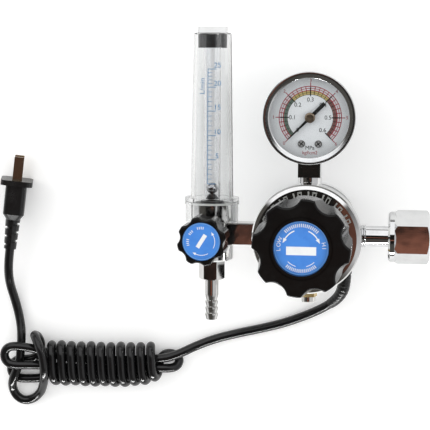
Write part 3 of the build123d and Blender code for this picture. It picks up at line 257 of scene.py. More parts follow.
def finish(name, colour, worn, roughness, patch, spread=0.25, grain=3000.0, depth=0.000004, turned=None,
           lines=4000.0, **plain):
    """A worn finish: the colour wanders between two in patches, the roughness wanders with it by the spread,
    and a fine grain gives the bump, whose height in metres is depth. A turned part adds rings about a centre
    and an axis. Patch, grain and lines are noise scales, higher for finer."""
    made, tree, shader = start_finish(name, colour, **plain)
    wear = put(tree, "Group", {"Colour": (*colour, 1), "Worn Colour": (*worn, 1), "Roughness": roughness,
                               "Spread": spread, "Patch Scale": patch, "Grain Scale": grain},
               node_tree=surface_wear)
    tree.links.new(wear.outputs["Colour"], shader.inputs["Base Color"])
    tree.links.new(wear.outputs["Roughness"], shader.inputs["Roughness"])
    height = wear.outputs["Height"]
    if turned:
        centre, axis = turned
        lean = Vector(axis).to_track_quat("Z", "Y").inverted()
        spot = put(tree, "Mapping", {"Vector": put(tree, "TexCoord").outputs["Object"],
                                     "Location": (lean @ Vector(centre)) * -1, "Rotation": lean.to_euler()})
        rings = put(tree, "Group", {"Vector": spot.outputs[0], "Lines": lines}, node_tree=turning_marks)
        height = math_node(tree, "ADD", height, rings.outputs["Height"])
    bump = put(tree, "Bump", {"Height": height, "Strength": 1.0, "Distance": depth})
    tree.links.new(bump.outputs[0], shader.inputs["Normal"])
    return made


def dress(material, *names):
    """Gives CAD nodes their finish."""
    for name in names:
        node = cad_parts[name]
        if not node.material_slots:
            node.data.materials.append(material)
        for held in node.material_slots:
            held.material = material


upright = ((0, 0, 0), (0, 0, 1))
dress(finish("cast_alloy", (0.56, 0.565, 0.57), (0.40, 0.405, 0.41), roughness=0.34, spread=0.35,
             patch=45.0, grain=1800.0, depth=0.00004, Metallic=1.0), "heater_housing")
dress(finish("cover_alloy", (0.60, 0.605, 0.61), (0.46, 0.465, 0.47), roughness=0.30, spread=0.30,
             patch=30.0, grain=2600.0, depth=0.00002, turned=upright, lines=1500.0, Metallic=1.0),
      "back_cover")
dress(finish("zinc_steel", (0.58, 0.58, 0.60), (0.36, 0.35, 0.34), roughness=0.24, spread=0.30, patch=260.0,
             grain=4000.0, depth=0.00001, Metallic=1.0), "back_cover_screws", "housing_screws")
dress(finish("heater_alloy", (0.62, 0.62, 0.62), (0.40, 0.37, 0.33), roughness=0.42, spread=0.30,
             patch=80.0, grain=1500.0, depth=0.00003, Metallic=1.0), "heater_block")
dress(finish("element_sheath", (0.38, 0.33, 0.27), (0.16, 0.12, 0.10), roughness=0.38, spread=0.30,
             patch=180.0, grain=2500.0, depth=0.00001, Metallic=1.0), "heating_elements")
dress(finish("thermostat_can", (0.66, 0.66, 0.66), (0.45, 0.44, 0.42), roughness=0.26, patch=150.0,
             depth=0.00001, turned=upright, Metallic=1.0), "thermostat")
dress(finish("phenolic", (0.045, 0.040, 0.036), (0.085, 0.070, 0.058), roughness=0.42, patch=220.0,
             grain=2200.0, depth=0.00002), "terminal_block")

# ---------------------------------------------------------------- regulator body and bonnet
# Brass castings under bright plate. The body carries the ports and the thread ring; the bonnet screws over
# it and has a row of raised bars round its face. The bars are real, but their lighter satin outlines are a
# painted highlight, printed flat where their edges would catch the light. The plate is a little wavy,
# because the casting under it is only tumbled.


def add_swell(tree, normal, scale, detail, depth):
    """Slow waves in a face, as a bump that feeds a normal socket; depth is their height in metres."""
    spot = put(tree, "TexCoord").outputs["Object"]
    slow = put(tree, "TexNoise", {"Vector": spot, "Scale": scale, "Detail": detail})
    swell = put(tree, "Bump", {"Height": slow.outputs[0], "Strength": 1.0, "Distance": depth})
    tree.links.new(swell.outputs[0], normal)


def plating(name, tint, haze, wave, turned=None, lines=3000.0, rings=0.000001):
    """Bright plate: mirror metal with a slow wave in its face, a thin haze and fine polishing marks."""
    made = finish(name, tint, tuple(0.86 * c for c in tint), roughness=haze, spread=0.10, patch=70.0,
                  grain=2200.0, depth=rings, turned=turned, lines=lines, Metallic=1.0)
    tree = made.node_tree
    add_swell(tree, tree.nodes["Bump"].inputs["Normal"], scale=95.0, detail=1.0, depth=wave)
    return made


dress(plating("body_plate", tint=(0.80, 0.80, 0.80), haze=0.07, wave=0.00012), "regulator_body")
dress(plating("bonnet_plate", tint=(0.86, 0.86, 0.85), haze=0.045, wave=0.00008, turned=upright,
              lines=1400.0, rings=0.000002), "bonnet")
# A lighter satin than the bonnet's mirror plate, for the bar outlines: a painted highlight.
crest_highlight = finish("crest_painted_highlight", (0.50, 0.51, 0.48), (0.30, 0.31, 0.29), roughness=0.30, spread=0.20,
               patch=260.0, Metallic=0.45)
dress(plating("ring_plate", tint=(0.80, 0.80, 0.80), haze=0.09, wave=0.00005, turned=upright), "clamp_ring")
dress(finish("nitrile", (0.020, 0.020, 0.021), (0.045, 0.044, 0.042), roughness=0.52, patch=120.0,
             depth=0.00002), "diaphragm", "needle_seal", "relief_disc")

# ---------------------------------------------------------------- valve, spring and adjusting screw
# Turned brass valve parts and a rolled-thread steel screw, all inside the body and bonnet. The three steel
# springs are wound from round wire.
brass = (0.72, 0.52, 0.22)
worn_brass = (0.50, 0.33, 0.13)
port_height = 0.046
dress(finish("turned_brass", brass, worn_brass, roughness=0.20, patch=160.0, grain=2500.0, depth=0.000006,
             turned=upright, lines=3500.0, Metallic=1.0), "valve_seat", "poppet", "spring_button",
      "diaphragm_plate")
spring_steel = finish("spring_steel", (0.50, 0.50, 0.52), (0.28, 0.26, 0.25), roughness=0.22, spread=0.30,
                      patch=400.0, grain=5000.0, Metallic=1.0)
dress(spring_steel, "main_spring", "poppet_spring", "relief_spring")


def tube_skin(name, rings, ends):
    """A closed tube through a grid of points, one row for each ring; a point at each end closes it."""
    rows, count = rings.shape[:2]
    row, column = np.meshgrid(np.arange(rows - 1), np.arange(count), indexing="ij")
    here, beside = row * count + column, row * count + (column + 1) % count
    faces = np.stack([here, here + count, beside + count, beside], axis=-1).reshape(-1, 4).tolist()
    column, after = np.arange(count), (np.arange(count) + 1) % count
    last = (rows - 1) * count
    faces += np.stack([column, after, np.full(count, rows * count)], axis=-1).tolist()
    faces += np.stack([last + after, last + column, np.full(count, rows * count + 1)], axis=-1).tolist()
    return new_mesh(name, np.concatenate([rings.reshape(-1, 3), ends]), faces)


def wound_spring(name, stands_for, foot, way, radius, wire, turns, length):
    """A compression spring from its foot along a direction: a round wire on a helix."""
    foot, way = np.array(foot), np.array(way, float)
    first = np.array([1.0, 0, 0])
    second = np.cross(way, first)
    points_per_turn, sides = 40, 16
    part = np.linspace(0, 1, turns * points_per_turn + 1)[:, None]
    turn = 2 * np.pi * turns * part
    outward = np.cos(turn) * first + np.sin(turn) * second
    line = foot + way * (wire / 2 + (length - wire) * part) + radius * outward
    along = np.gradient(line, axis=0)
    along /= np.linalg.norm(along, axis=1, keepdims=True)
    across = np.cross(outward, along)
    angle = np.linspace(0, 2 * np.pi, sides, endpoint=False)[None, :, None]
    rings = line[:, None] + wire / 2 * (np.cos(angle) * outward[:, None] + np.sin(angle) * across[:, None])
    spring = tube_skin(name, rings, line[[0, -1]])
    spring.data.materials.append(spring_steel)
    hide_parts(stands_for)
    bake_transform(spring)


wound_spring("wound_main_spring", "main_spring", foot=(0, 0, 0.0650), way=(0, 0, 1),
             radius=0.0090, wire=0.0022, turns=4, length=0.0190)
wound_spring("wound_poppet_spring", "poppet_spring", foot=(0, 0, 0.0380), way=(0, 0, 1),
             radius=0.0025, wire=0.0006, turns=4, length=0.0080)
wound_spring("wound_relief_spring", "relief_spring", foot=(0, -0.0385, port_height),
             way=(0, 1, 0), radius=0.0020, wire=0.0006, turns=3, length=0.0045)
dress(finish("screw_steel", (0.55, 0.55, 0.57), (0.33, 0.31, 0.30), roughness=0.25, spread=0.30,
             patch=220.0, depth=0.000006, turned=upright, Metallic=1.0), "adjusting_screw")

# ---------------------------------------------------------------- pressure knob
# Black glossy moulding with eight finger scallops and a groove round its label. The label is printed card
# under a clear film: two arrows for less and more, a bare white plate and a ring of fine ticks.


def moulding(name, colour, roughness, peel=0.00006, **plain):
    """Glossy black moulding: slow orange-peel waves under a fine grain, and faint dust in patches."""
    made = finish(name, colour, tuple(c * 1.3 + 0.001 for c in colour), roughness=roughness, spread=0.18,
                  patch=110.0, grain=5200.0, depth=0.0000012, **plain)
    tree = made.node_tree
    add_swell(tree, tree.nodes["Bump"].inputs["Normal"], scale=230.0, detail=2.0, depth=peel)
    return made


dress(moulding("knob_black", (0.0058, 0.0054, 0.0052), roughness=0.15, Specular_IOR_Level=0.20),
      "pressure_knob", "flow_knob")
label_blue = finish("label_blue", (0.062, 0.262, 0.760), (0.050, 0.225, 0.700), roughness=0.30, spread=0.10,
                    patch=140.0, grain=6000.0, depth=0.000003, Coat_Weight=0.35, Coat_Roughness=0.12)
dress(label_blue, "pressure_knob_label", "flow_knob_label")
label_white = finish("label_white", (0.86, 0.87, 0.88), (0.80, 0.81, 0.83), roughness=0.32, spread=0.10,
                     patch=200.0, grain=6000.0, depth=0.000002)


def arc_patch(inner, outer, start, end, steps=24):
    """Points of a flat ring piece: radius from inner to outer, angle from start to end in degrees, z 0."""
    angle = np.radians(np.linspace(start, end, steps))[None, :]
    radius = np.array([inner, outer], float)[:, None]
    return np.stack([radius * np.cos(angle), radius * np.sin(angle), 0 * radius * angle], axis=-1)


def dashes(inner, outer, angles, half, steps=3):
    """A row of short ring pieces, each reaching half an angle to both sides of its own."""
    return [arc_patch(inner, outer, angle - half, angle + half, steps) for angle in angles]


def full_ring(inner, outer, steps):
    """A whole flat ring, in two halves."""
    return [arc_patch(inner, outer, 0, 180, steps), arc_patch(inner, outer, 180, 360, steps)]


def bar_patch(x0, x1, y0, y1, columns=2):
    """Points of a flat rectangle, z 0. With more columns it can bend with the wall under it."""
    x, y = np.meshgrid(np.linspace(x0, x1, columns), [y0, y1])
    return np.stack([x, y, 0.0 * x], axis=-1)


def arrow_head(radius, angle, length, width):
    """A flat triangle on a circle at an angle, pointing along it; a negative length points clockwise."""
    way = np.radians(angle)
    out, along = np.array([np.cos(way), np.sin(way), 0]), np.array([-np.sin(way), np.cos(way), 0])
    base = out * radius
    tip = base + along * length
    return np.array([[base - out * width / 2, tip], [base + out * width / 2, tip]])


def lettering(text, height):
    """Flat figures, centred on the origin: their points and faces."""
    drawn = bpy.data.curves.new("figures", "FONT")
    drawn.body, drawn.align_x, drawn.align_y, drawn.size = text, "CENTER", "CENTER", height
    holder = bpy.data.objects.new("figures", drawn)
    flat = bpy.data.meshes.new_from_object(holder)
    points = np.zeros(len(flat.vertices) * 3)
    flat.vertices.foreach_get("co", points)
    faces = [tuple(face.vertices) for face in flat.polygons]
    bpy.data.objects.remove(holder)
    bpy.data.meshes.remove(flat)
    return points.reshape(-1, 3), faces


def grid_faces(rows, columns, first=0):
    """Faces of a grid of points numbered row by row."""
    corner = (np.arange(rows - 1)[:, None] * columns + np.arange(columns - 1)[None, :]).ravel() + first
    return np.stack([corner, corner + 1, corner + columns + 1, corner + columns], axis=-1).tolist()


def print_on(name, marks, material, body, place):
    """One mesh of flat marks. A mark is a grid of points or lettering; place carries flat points to the
    surface, and each face is turned so that it looks away from the part."""
    points, faces, count = [], [], 0
    for mark in marks:
        if isinstance(mark, tuple):
            spots, mark_faces = mark
            mark_faces = [tuple(i + count for i in face) for face in mark_faces]
        else:
            spots = mark.reshape(-1, 3)
            mark_faces = grid_faces(*mark.shape[:2], first=count)
            a, b, c = (spots[i - count] for i in mark_faces[0][:3])
            if np.cross(b - a, c - b)[2] < 0:
                mark_faces = [face[::-1] for face in mark_faces]
        points.append(spots)
        faces += mark_faces
        count += len(spots)
    made = new_mesh(name, place(np.concatenate(points)), faces, smooth=False)
    made.data.materials.append(material)
    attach(made, body)


def shifted(mark, x, y, turn=0.0):
    """A mark turned by an angle in degrees and then moved."""
    c, s = np.cos(np.radians(turn)), np.sin(np.radians(turn))
    spin = np.array([[c, s, 0], [-s, c, 0], [0, 0, 1]])
    if isinstance(mark, tuple):
        return mark[0] @ spin + (x, y, 0), mark[1]
    return mark @ spin + (x, y, 0)


def onto_level(x, y, z):
    """Carries flat marks in millimetres to a level face at x, y, z in metres."""
    return lambda spots: spots * 0.001 + (x, y, z)


def set_round(texts, height, radius, angles, turns):
    """Lettering centred on a circle: each piece at its own angle and turned by its own turn, in degrees."""
    return [shifted(lettering(text, height), radius * np.cos(way), radius * np.sin(way), turn)
            for text, way, turn in zip(texts, np.radians(angles), turns)]


def round_word(word, height, radius, middle, step):
    """A word set letter by letter round a circle, clockwise, with its feet towards the centre."""
    angles = middle + step * (len(word) - 1) / 2 - step * np.arange(len(word))
    return set_round(word, height, radius, angles, angles - 90)


name_plate = bar_patch(-9.0, 9.0, -4.2, 0.9)
arrow_bows = [arc_patch(10.8, 11.5, 112, 150), arc_patch(10.8, 11.5, 30, 68)]
arrow_heads = [arrow_head(11.15, 150, 3.0, 2.3), arrow_head(11.15, 30, -3.0, 2.3)]
label_ticks = dashes(12.7, 14.8, [*np.linspace(46, 134, 19), *np.linspace(232, 308, 17)], 1.1)
lower_lines = [arc_patch(11.2, 11.6, 226, 254), arc_patch(11.2, 11.6, 286, 314)]
turn_words = round_word("LOW", 3.5, 13.6, 172, 13.0) + round_word("HI", 3.5, 13.6, 6, 10.5)
label_marks = [name_plate, *arrow_bows, *arrow_heads, *label_ticks, *lower_lines, *turn_words]
# Outlines of the raised bars, printed lighter as a painted highlight along their edges.
crest_inner, crest_outer, bar_edge = 25.3, 30.2, 1.2
first_bar, bar_step, bar_count = 22.0, 9.2, 15
crest_highlight_marks = []
for i, start in enumerate(first_bar + bar_step * np.arange(bar_count)):
    left, narrow_right, wide_right = start + 0.3, start + 2.2, start + 5.7
    if i % 2:
        crest_highlight_marks.append(arc_patch(crest_inner, crest_outer, left, narrow_right, 3))
    else:
        crest_highlight_marks.append(arc_patch(crest_inner, 26.0, left, wide_right, 6))
        crest_highlight_marks.append(arc_patch(29.4, crest_outer, left, wide_right, 6))
        crest_highlight_marks.append(arc_patch(crest_inner, crest_outer, left, left + bar_edge, 3))
        crest_highlight_marks.append(arc_patch(crest_inner, crest_outer, wide_right - bar_edge, wide_right, 3))


def on_bonnet(spots):
    """Flat marks in millimetres laid on the bonnet's raised bars, whose tops lean outward a little. The marks
    are a painted highlight: lighter outlines where the bars' edges would catch the light.
    """
    rim_radius, rim_height, slope = 31.5, 71.35, 0.0966
    height = rim_height + slope * (rim_radius - np.hypot(spots[:, 0], spots[:, 1]))
    return np.stack([spots[:, 0], spots[:, 1], height], axis=-1) * 0.001


print_on("bonnet_crest_highlights", crest_highlight_marks, crest_highlight, "regulator", on_bonnet)
label_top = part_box("pressure_knob_label")[1].z
print_on("pressure_label_print", label_marks, label_white, "pressure_knob_set",
         onto_level(0.0, 0.0, label_top + 0.00004))
rim_ink = finish("label_rim", (0.16, 0.40, 0.82), (0.12, 0.34, 0.78), roughness=0.32, spread=0.10,
                 patch=200.0, grain=6000.0, depth=0.000002)
print_on("pressure_label_rim", full_ring(15.7, 16.1, 60), rim_ink, "pressure_knob_set",
         onto_level(0.0, 0.0, label_top + 0.00003))

# ---------------------------------------------------------------- inlet stem and nut
# Plated brass stem with a loose six-sided nut that a ring of wire holds on. The nut's flats are ground and
# polished, so each mirrors one part of the room. A nylon washer and a sintered bronze filter are inside.
inlet_line = ((0.0, 0.0, port_height), (1, 0, 0))
dress(plating("stem_plate", tint=(0.80, 0.805, 0.81), haze=0.05, wave=0.00006, turned=inlet_line,
              lines=5000.0), "inlet_stem")
dress(plating("nut_plate", tint=(0.75, 0.755, 0.755), haze=0.045, wave=0.00004, turned=inlet_line,
              lines=2400.0, rings=0.000002), "inlet_nut")
dress(finish("ring_wire", (0.52, 0.52, 0.53), (0.34, 0.32, 0.30), roughness=0.24, patch=300.0, grain=4000.0,
             Metallic=1.0), "slip_ring")
dress(finish("white_nylon", (0.78, 0.77, 0.72), (0.70, 0.67, 0.58), roughness=0.46, spread=0.20,
             patch=180.0, grain=2600.0, depth=0.00001), "sealing_washer")
dress(finish("sintered_bronze", (0.42, 0.27, 0.13), (0.26, 0.16, 0.08), roughness=0.55, spread=0.30,
             patch=900.0, grain=2600.0, depth=0.00012, Metallic=1.0), "inlet_filter")

# ---------------------------------------------------------------- pressure gauge
# Black enamelled case with a plated bezel pressed over a flat glass. The dial is silver-white, held by two
# screws with crossed recesses, and printed with an outer red scale of 0 to 6 and an inner black one of 0 to
# 0.6, with coloured bands between. The screws' recesses and the rims of their heads are printed dark on the
# flat heads as painted shade. The pointer stands at zero.
dial_low, dial_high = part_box("gauge_dial")
gauge_y = (dial_low.y + dial_high.y) / 2
gauge_line = ((0.0, gauge_y, 0.0), (0, 0, 1))
dress(finish("case_enamel", (0.022, 0.022, 0.024), (0.040, 0.039, 0.038), roughness=0.24, spread=0.20,
             patch=90.0, grain=2200.0, depth=0.00001, Coat_Weight=0.3, Coat_Roughness=0.1), "gauge_case")
dress(plating("bezel_plate", tint=(0.80, 0.81, 0.81), haze=0.11, wave=0.00006, turned=gauge_line,
              lines=2600.0, rings=0.000003), "gauge_bezel")
dress(plating("socket_plate", tint=(0.80, 0.80, 0.79), haze=0.06, wave=0.00006), "gauge_socket")
dress(finish("movement_brass", brass, worn_brass, roughness=0.26, patch=200.0, grain=3200.0, depth=0.000005,
             Metallic=1.0), "movement_frame", "gauge_sector")
dress(finish("bourdon_bronze", (0.62, 0.40, 0.20), (0.44, 0.27, 0.14), roughness=0.24, patch=150.0,
             grain=2600.0, depth=0.000006, Metallic=1.0), "bourdon_tube")
dress(finish("dial_silver", (0.90, 0.91, 0.93), (0.86, 0.87, 0.89), roughness=0.42, spread=0.12, patch=90.0,
             grain=4200.0, Coat_Weight=0.15, Coat_Roughness=0.3), "gauge_dial")
dress(finish("dial_screw_steel", (0.66, 0.66, 0.66), (0.50, 0.49, 0.48), roughness=0.34, patch=400.0,
             grain=4000.0, Metallic=0.6), "dial_screws")
dress(finish("pointer_enamel", (0.012, 0.012, 0.012), (0.022, 0.021, 0.020), roughness=0.34, spread=0.20,
             patch=500.0, grain=5200.0, depth=0.000003), "gauge_pointer")
outer_ring, band_edge, inner_ring = 20.1, 16.9, 14.7
scale_start, scale_end = 225.0, -45.0
majors = scale_start - 45.0 * np.arange(7)
minors = scale_start - 9.0 * np.arange(31)
cells = scale_start - 9.0 * np.arange(30) - 4.5


def dial_arc(inner, outer, start=scale_end, end=scale_start, steps=90):
    """A ring piece on the dial, as long as its scale unless two other angles are given."""
    return arc_patch(inner, outer, start, end, steps)


def spoke(angle, inner, outer, width):
    """A straight tick on the dial, from one radius to another."""
    return shifted(bar_patch(inner, outer, -width / 2, width / 2), 0, 0, angle)


def dial_print(ink, colour, worn, marks, lift):
    """Marks in one matt ink, at a small lift above the dial."""
    matt = finish("dial_" + ink, colour, worn, roughness=0.42, spread=0.10, patch=300.0, grain=5200.0,
                  depth=0.000002)
    print_on("dial_print_" + ink, marks, matt, "regulator", onto_level(0.0, gauge_y, dial_high.z + lift))


red_marks = [dial_arc(outer_ring - 0.5, outer_ring), dial_arc(band_edge, band_edge + 0.5)]
red_marks += [spoke(angle, band_edge, outer_ring, 0.5) for angle in minors]
red_marks += dashes(18.3, 18.65, cells, 4.6, steps=4)
red_marks += [spoke(angle, band_edge, 22.2, 0.5) for angle in majors]
red_marks += set_round("0123456", 3.0, 23.4, majors, 0 * majors)
red_marks.append(shifted(lettering("kgf/cm2", 3.1), 0, -22.4))
black_marks = [dial_arc(inner_ring - 0.25, inner_ring), dial_arc(15.7, 15.9)]
black_marks += [spoke(angle, inner_ring, band_edge, 0.34) for angle in minors]
black_marks += [spoke(angle, 13.6, 19.2, 0.7) for angle in majors]
tenths = ("0", "0.1", "0.2", "0.3", "0.4", "0.5", "0.6")
black_marks += set_round(tenths, 3.7, 11.3, majors, 0 * majors)
black_marks.append(shifted(lettering("MPa", 3.5), 0, -19.3))
white_band = dial_arc(band_edge + 0.2, outer_ring - 0.2)
dial_print("red", (0.50, 0.030, 0.060), (0.44, 0.028, 0.055), red_marks, lift=0.00007)
dial_print("white", (0.80, 0.79, 0.80), (0.74, 0.73, 0.74), [white_band], lift=0.00003)
for ink, colour, worn, start, end in (("green", (0.155, 0.215, 0.165), (0.20, 0.255, 0.205), 135, 225),
                                      ("yellow", (0.60, 0.47, 0.17), (0.66, 0.54, 0.25), 45, 135),
                                      ("brown", (0.26, 0.105, 0.095), (0.33, 0.16, 0.145), -45, 45)):
    dial_print(ink, colour, worn, [dial_arc(inner_ring, band_edge, start, end, 40)], lift=0.00003)
dial_print("black", (0.012, 0.011, 0.012), (0.02, 0.019, 0.02), black_marks, lift=0.00010)
screw_low, screw_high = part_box("dial_screws")
screw_radius, screw_turn = 2.25, 38.0
screw_x, screw_y = screw_high.x * 1000.0 - screw_radius, (screw_low.y + screw_high.y) / 2
# A dark rim round each screw head and a dark cross for its recess: painted shade, printed flat on the heads.
screw_shade_marks = []
for side in (-1, 1):
    screw_shade_marks.append(shifted(arc_patch(1.85, screw_radius, 0, 360, 40), side * screw_x, 0))
    for turn in (side * screw_turn, 90.0 + side * screw_turn):
        screw_shade_marks.append(shifted(bar_patch(-1.7, 1.7, -0.32, 0.32), side * screw_x, 0, turn))
# Near-black for the recesses and head rims: painted shade.
recess_shade = finish("screw_recess_shade", (0.05, 0.05, 0.05), (0.10, 0.10, 0.10), roughness=0.35, spread=0.20,
                patch=400.0, grain=4000.0, depth=0.000002, Metallic=0.5)
print_on("dial_screw_shade", screw_shade_marks, recess_shade, "regulator",
         onto_level(0.0, screw_y, screw_high.z + 0.00003))


def turned_piece(name, profile, count, centre):
    """A closed turned shape standing along Z: rows of (radius, height) from the top down, swept round a
    centre. A point on the axis closes it above the first row and below the last."""
    radius, height = np.array(profile, float).T[:, :, None]
    angle = np.linspace(0, 2 * np.pi, count, endpoint=False)[None, :]
    rings = np.stack([radius * np.cos(angle), radius * np.sin(angle), height + 0 * angle], axis=-1) + centre
    poles = np.array([(0, 0, height[0, 0]), (0, 0, height[-1, 0])]) + centre
    return tube_skin(name, rings, poles)


hub = turned_piece("pointer_hub", [(0.0012, 0.0514), (0.0017, 0.05155), (0.0030, 0.0514), (0.0033, 0.0511),
                                   (0.0033, 0.0506), (0.0030, 0.0503)], 48, (0, gauge_y, 0))
hub.data.materials.append(finish("hub_brass", (0.34, 0.27, 0.20), (0.22, 0.17, 0.13), roughness=0.30,
                                 spread=0.20, patch=500.0, grain=4000.0, depth=0.00001, turned=gauge_line,
                                 lines=3000.0, Metallic=1.0))
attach(hub, "gauge_needle")


def ring_piece(name, profile, count, centre):
    """A closed ring standing along Z: the profile, a loop of (radius, height), is swept round a centre."""
    profile = np.asarray(profile, float)
    angle = np.linspace(0, 2 * np.pi, count, endpoint=False)[:, None]
    points = np.stack([profile[:, 0] * np.cos(angle), profile[:, 0] * np.sin(angle),
                       profile[:, 1] + 0 * angle], axis=-1)
    rows = len(profile)
    turn, row = np.meshgrid(np.arange(count), np.arange(rows), indexing="ij")
    after, above = (turn + 1) % count, (row + 1) % rows
    faces = np.stack([turn * rows + row, after * rows + row, after * rows + above, turn * rows + above],
                     axis=-1)
    return new_mesh(name, points.reshape(-1, 3) + np.asarray(centre), faces.reshape(-1, 4).tolist())


lip = ring_piece("bezel_lip", [(0.02515, 0.0571), (0.0294, 0.0570), (0.0294, 0.0582), (0.02932, 0.0586),
                               (0.02905, 0.0589), (0.0286, 0.05896), (0.0274, 0.05866), (0.0262, 0.05836),
                               (0.0254, 0.05816), (0.02515, 0.0580)], 128, (0, gauge_y, 0))
lip.data.materials.append(plating("lip_plate", tint=(0.80, 0.81, 0.81), haze=0.13, wave=0.00003,
                                  turned=gauge_line, lines=2600.0, rings=0.000003))
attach(lip, "regulator")


def clear_finish(name, tint, roughness, bend):
    """Clear moulding: glass for what looks at it, and open to shadow and diffuse rays, so that it doesn't
    darken what lies under it."""
    made, tree, shader = start_finish(name, tint, Roughness=roughness, IOR=bend, Transmission_Weight=1.0)
    add_swell(tree, shader.inputs["Normal"], scale=120.0, detail=2.0, depth=0.00002)
    rays = put(tree, "LightPath").outputs
    open_to = math_node(tree, "MAXIMUM", rays["Is Shadow Ray"], rays["Is Diffuse Ray"])
    clear = put(tree, "BsdfTransparent", {"Color": (0.94, 0.95, 0.955, 1)})
    both = put(tree, "MixShader", {0: open_to, 1: shader.outputs[0], 2: clear.outputs[0]})
    tree.links.new(both.outputs[0], tree.nodes["Material Output"].inputs["Surface"])
    return made


dress(clear_finish("gauge_glass", (0.99, 0.995, 0.99), roughness=0.01, bend=1.45), "gauge_lens")

# ---------------------------------------------------------------- outlet arm, flow block and relief valve
# Square plated arm into a turned block that stands behind the small knob, with the needle valve inside. The
# little relief valve under the body is brass with a plated cap.
small_low, small_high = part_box("flow_knob_label")
flow_x = (small_low.x + small_high.x) / 2
tube_line = ((flow_x, 0.0, port_height), (0, 1, 0))
knob_line = ((flow_x, 0.0, 0.0), (0, 0, 1))
dress(plating("arm_plate", tint=(0.78, 0.77, 0.76), haze=0.10, wave=0.00006), "outlet_arm")
dress(plating("block_plate", tint=(0.84, 0.84, 0.83), haze=0.06, wave=0.00004, turned=tube_line,
              lines=2600.0), "flow_block")
dress(plating("gland_plate", tint=(0.80, 0.80, 0.79), haze=0.10, wave=0.00004, turned=knob_line),
      "needle_gland")
dress(finish("needle_steel", (0.58, 0.58, 0.60), (0.44, 0.43, 0.42), roughness=0.18, spread=0.20,
             patch=250.0, grain=3500.0, turned=knob_line, Metallic=1.0), "flow_needle")
relief_line = ((0.0, 0.0, port_height), (0, 1, 0))
dress(finish("relief_brass", (0.78, 0.60, 0.30), (0.58, 0.42, 0.18), roughness=0.18, spread=0.20,
             patch=200.0, turned=relief_line, lines=3000.0, Metallic=1.0), "relief_body")
dress(plating("relief_plate", tint=(0.82, 0.81, 0.78), haze=0.10, wave=0.00003, turned=relief_line),
      "relief_cap")

# ---------------------------------------------------------------- hose tail
# Plated brass, turned in one piece: a six-sided shoulder, a plain shank and four barbs that hold the hose. It
# is screwed into the lower end of the flow block.
dress(plating("tail_plate", tint=(0.74, 0.735, 0.72), haze=0.05, wave=0.00003, turned=tube_line,
              lines=4200.0), "hose_tail")

# ---------------------------------------------------------------- flow tube
# A tapered measuring tube with a steel ball on its nozzle, inside a thick clear cover that screws to the
# block over a pale seal, with a black rubber stopper at its far end. The scale is printed in blue on the
# cover's front.
dress(clear_finish("cover_acrylic", (0.945, 0.95, 0.95), roughness=0.02, bend=1.49), "flow_cover")
dress(clear_finish("tube_acrylic", (0.95, 0.955, 0.965), roughness=0.01, bend=1.47), "measuring_tube")
dress(finish("ball_steel", (0.62, 0.62, 0.63), (0.50, 0.50, 0.50), roughness=0.06, spread=0.06, patch=300.0,
             grain=5000.0, depth=0.000002, Metallic=1.0), "float_ball")
dress(moulding("nozzle_black", (0.014, 0.014, 0.014), roughness=0.30), "float_nozzle")
dress(finish("pale_silicone", (0.74, 0.74, 0.72), (0.66, 0.66, 0.63), roughness=0.42, spread=0.20,
             patch=160.0, grain=2800.0, depth=0.00001), "cover_seal")
dress(finish("stopper_rubber", (0.012, 0.012, 0.013), (0.030, 0.029, 0.028), roughness=0.40, spread=0.20,
             patch=160.0, grain=2800.0, depth=0.00002), "tube_stopper")


def cover_front(spots):
    """Wraps flat marks in millimetres round the cover's front: x is measured across from the tube's axis, y
    along it, and the height is that of the tapered wall there, plus a small lift."""
    near_end, far_end, near_radius, far_radius, lift = 23.2, 128.7, 13.75, 12.1, 0.25
    widest = 11.0
    wall = np.interp(spots[:, 1], [near_end, far_end], [near_radius, far_radius]) + lift
    across = np.clip(spots[:, 0], -widest, widest)
    height = port_height + 0.001 * np.sqrt(wall ** 2 - across ** 2) + 0.001 * spots[:, 2]
    return np.stack([flow_x + across * 0.001, spots[:, 1] * 0.001, height], axis=-1)


scale_y = np.array([33.0, 48.4, 63.7, 79.3, 94.4, 105.8])
line_x, figure_height = -1.1, 4.6
scale_marks = [bar_patch(line_x - 0.2, line_x + 0.2, scale_y[0], scale_y[-1], columns=5)]
scale_marks += [bar_patch(line_x, line_x + 5.2, y - 0.22, y + 0.22, columns=5) for y in scale_y]
scale_marks += [bar_patch(line_x, line_x + 2.8, y - 0.17, y + 0.17, columns=5)
                for a, b in zip(scale_y, scale_y[1:]) for y in np.linspace(a, b, 6)[1:-1]]
scale_marks += [shifted(lettering(text, figure_height), line_x + 6.0, y + 2.3)
                for text, y in zip(("5", "10", "15", "20", "25"), scale_y[1:])]
scale_marks.append(shifted(lettering("L/min", figure_height), line_x - 3.6, 95.0, 90))
scale_ink = finish("scale_ink", (0.020, 0.150, 0.330), (0.035, 0.190, 0.380), roughness=0.35, spread=0.10,
                   patch=300.0, grain=5000.0, depth=0.000002)
print_on("flow_scale_print", scale_marks, scale_ink, "regulator", cover_front)

# ---------------------------------------------------------------- flow knob
# The same black moulding as the large knob, smaller, with its own label: a thin ring, two arrows, a few
# ticks and a bare bar.
small_plate = shifted(bar_patch(-4.7, 4.7, -1.25, 1.25), 0.1, 0.3, 58)
small_bows = [arc_patch(8.3, 8.65, -28, 30), arc_patch(8.3, 8.65, 246, 300)]
small_heads = [arrow_head(8.47, 30, 2.1, 1.7), arrow_head(8.47, 246, -2.1, 1.7)]
small_ticks = dashes(7.7, 9.3, (82, 90, 98, 106, 132, 140, 148, 172, 180, 188, 196), 1.6)
small_marks = [small_plate, *small_bows, *small_heads, *small_ticks]
print_on("flow_label_print", small_marks, label_white, "flow_knob_set",
         onto_level(flow_x, 0.0, small_high.z + 0.00004))
print_on("flow_label_rim", full_ring(11.0, 11.5, 40), rim_ink, "flow_knob_set",
         onto_level(flow_x, 0.0, small_high.z + 0.00003))

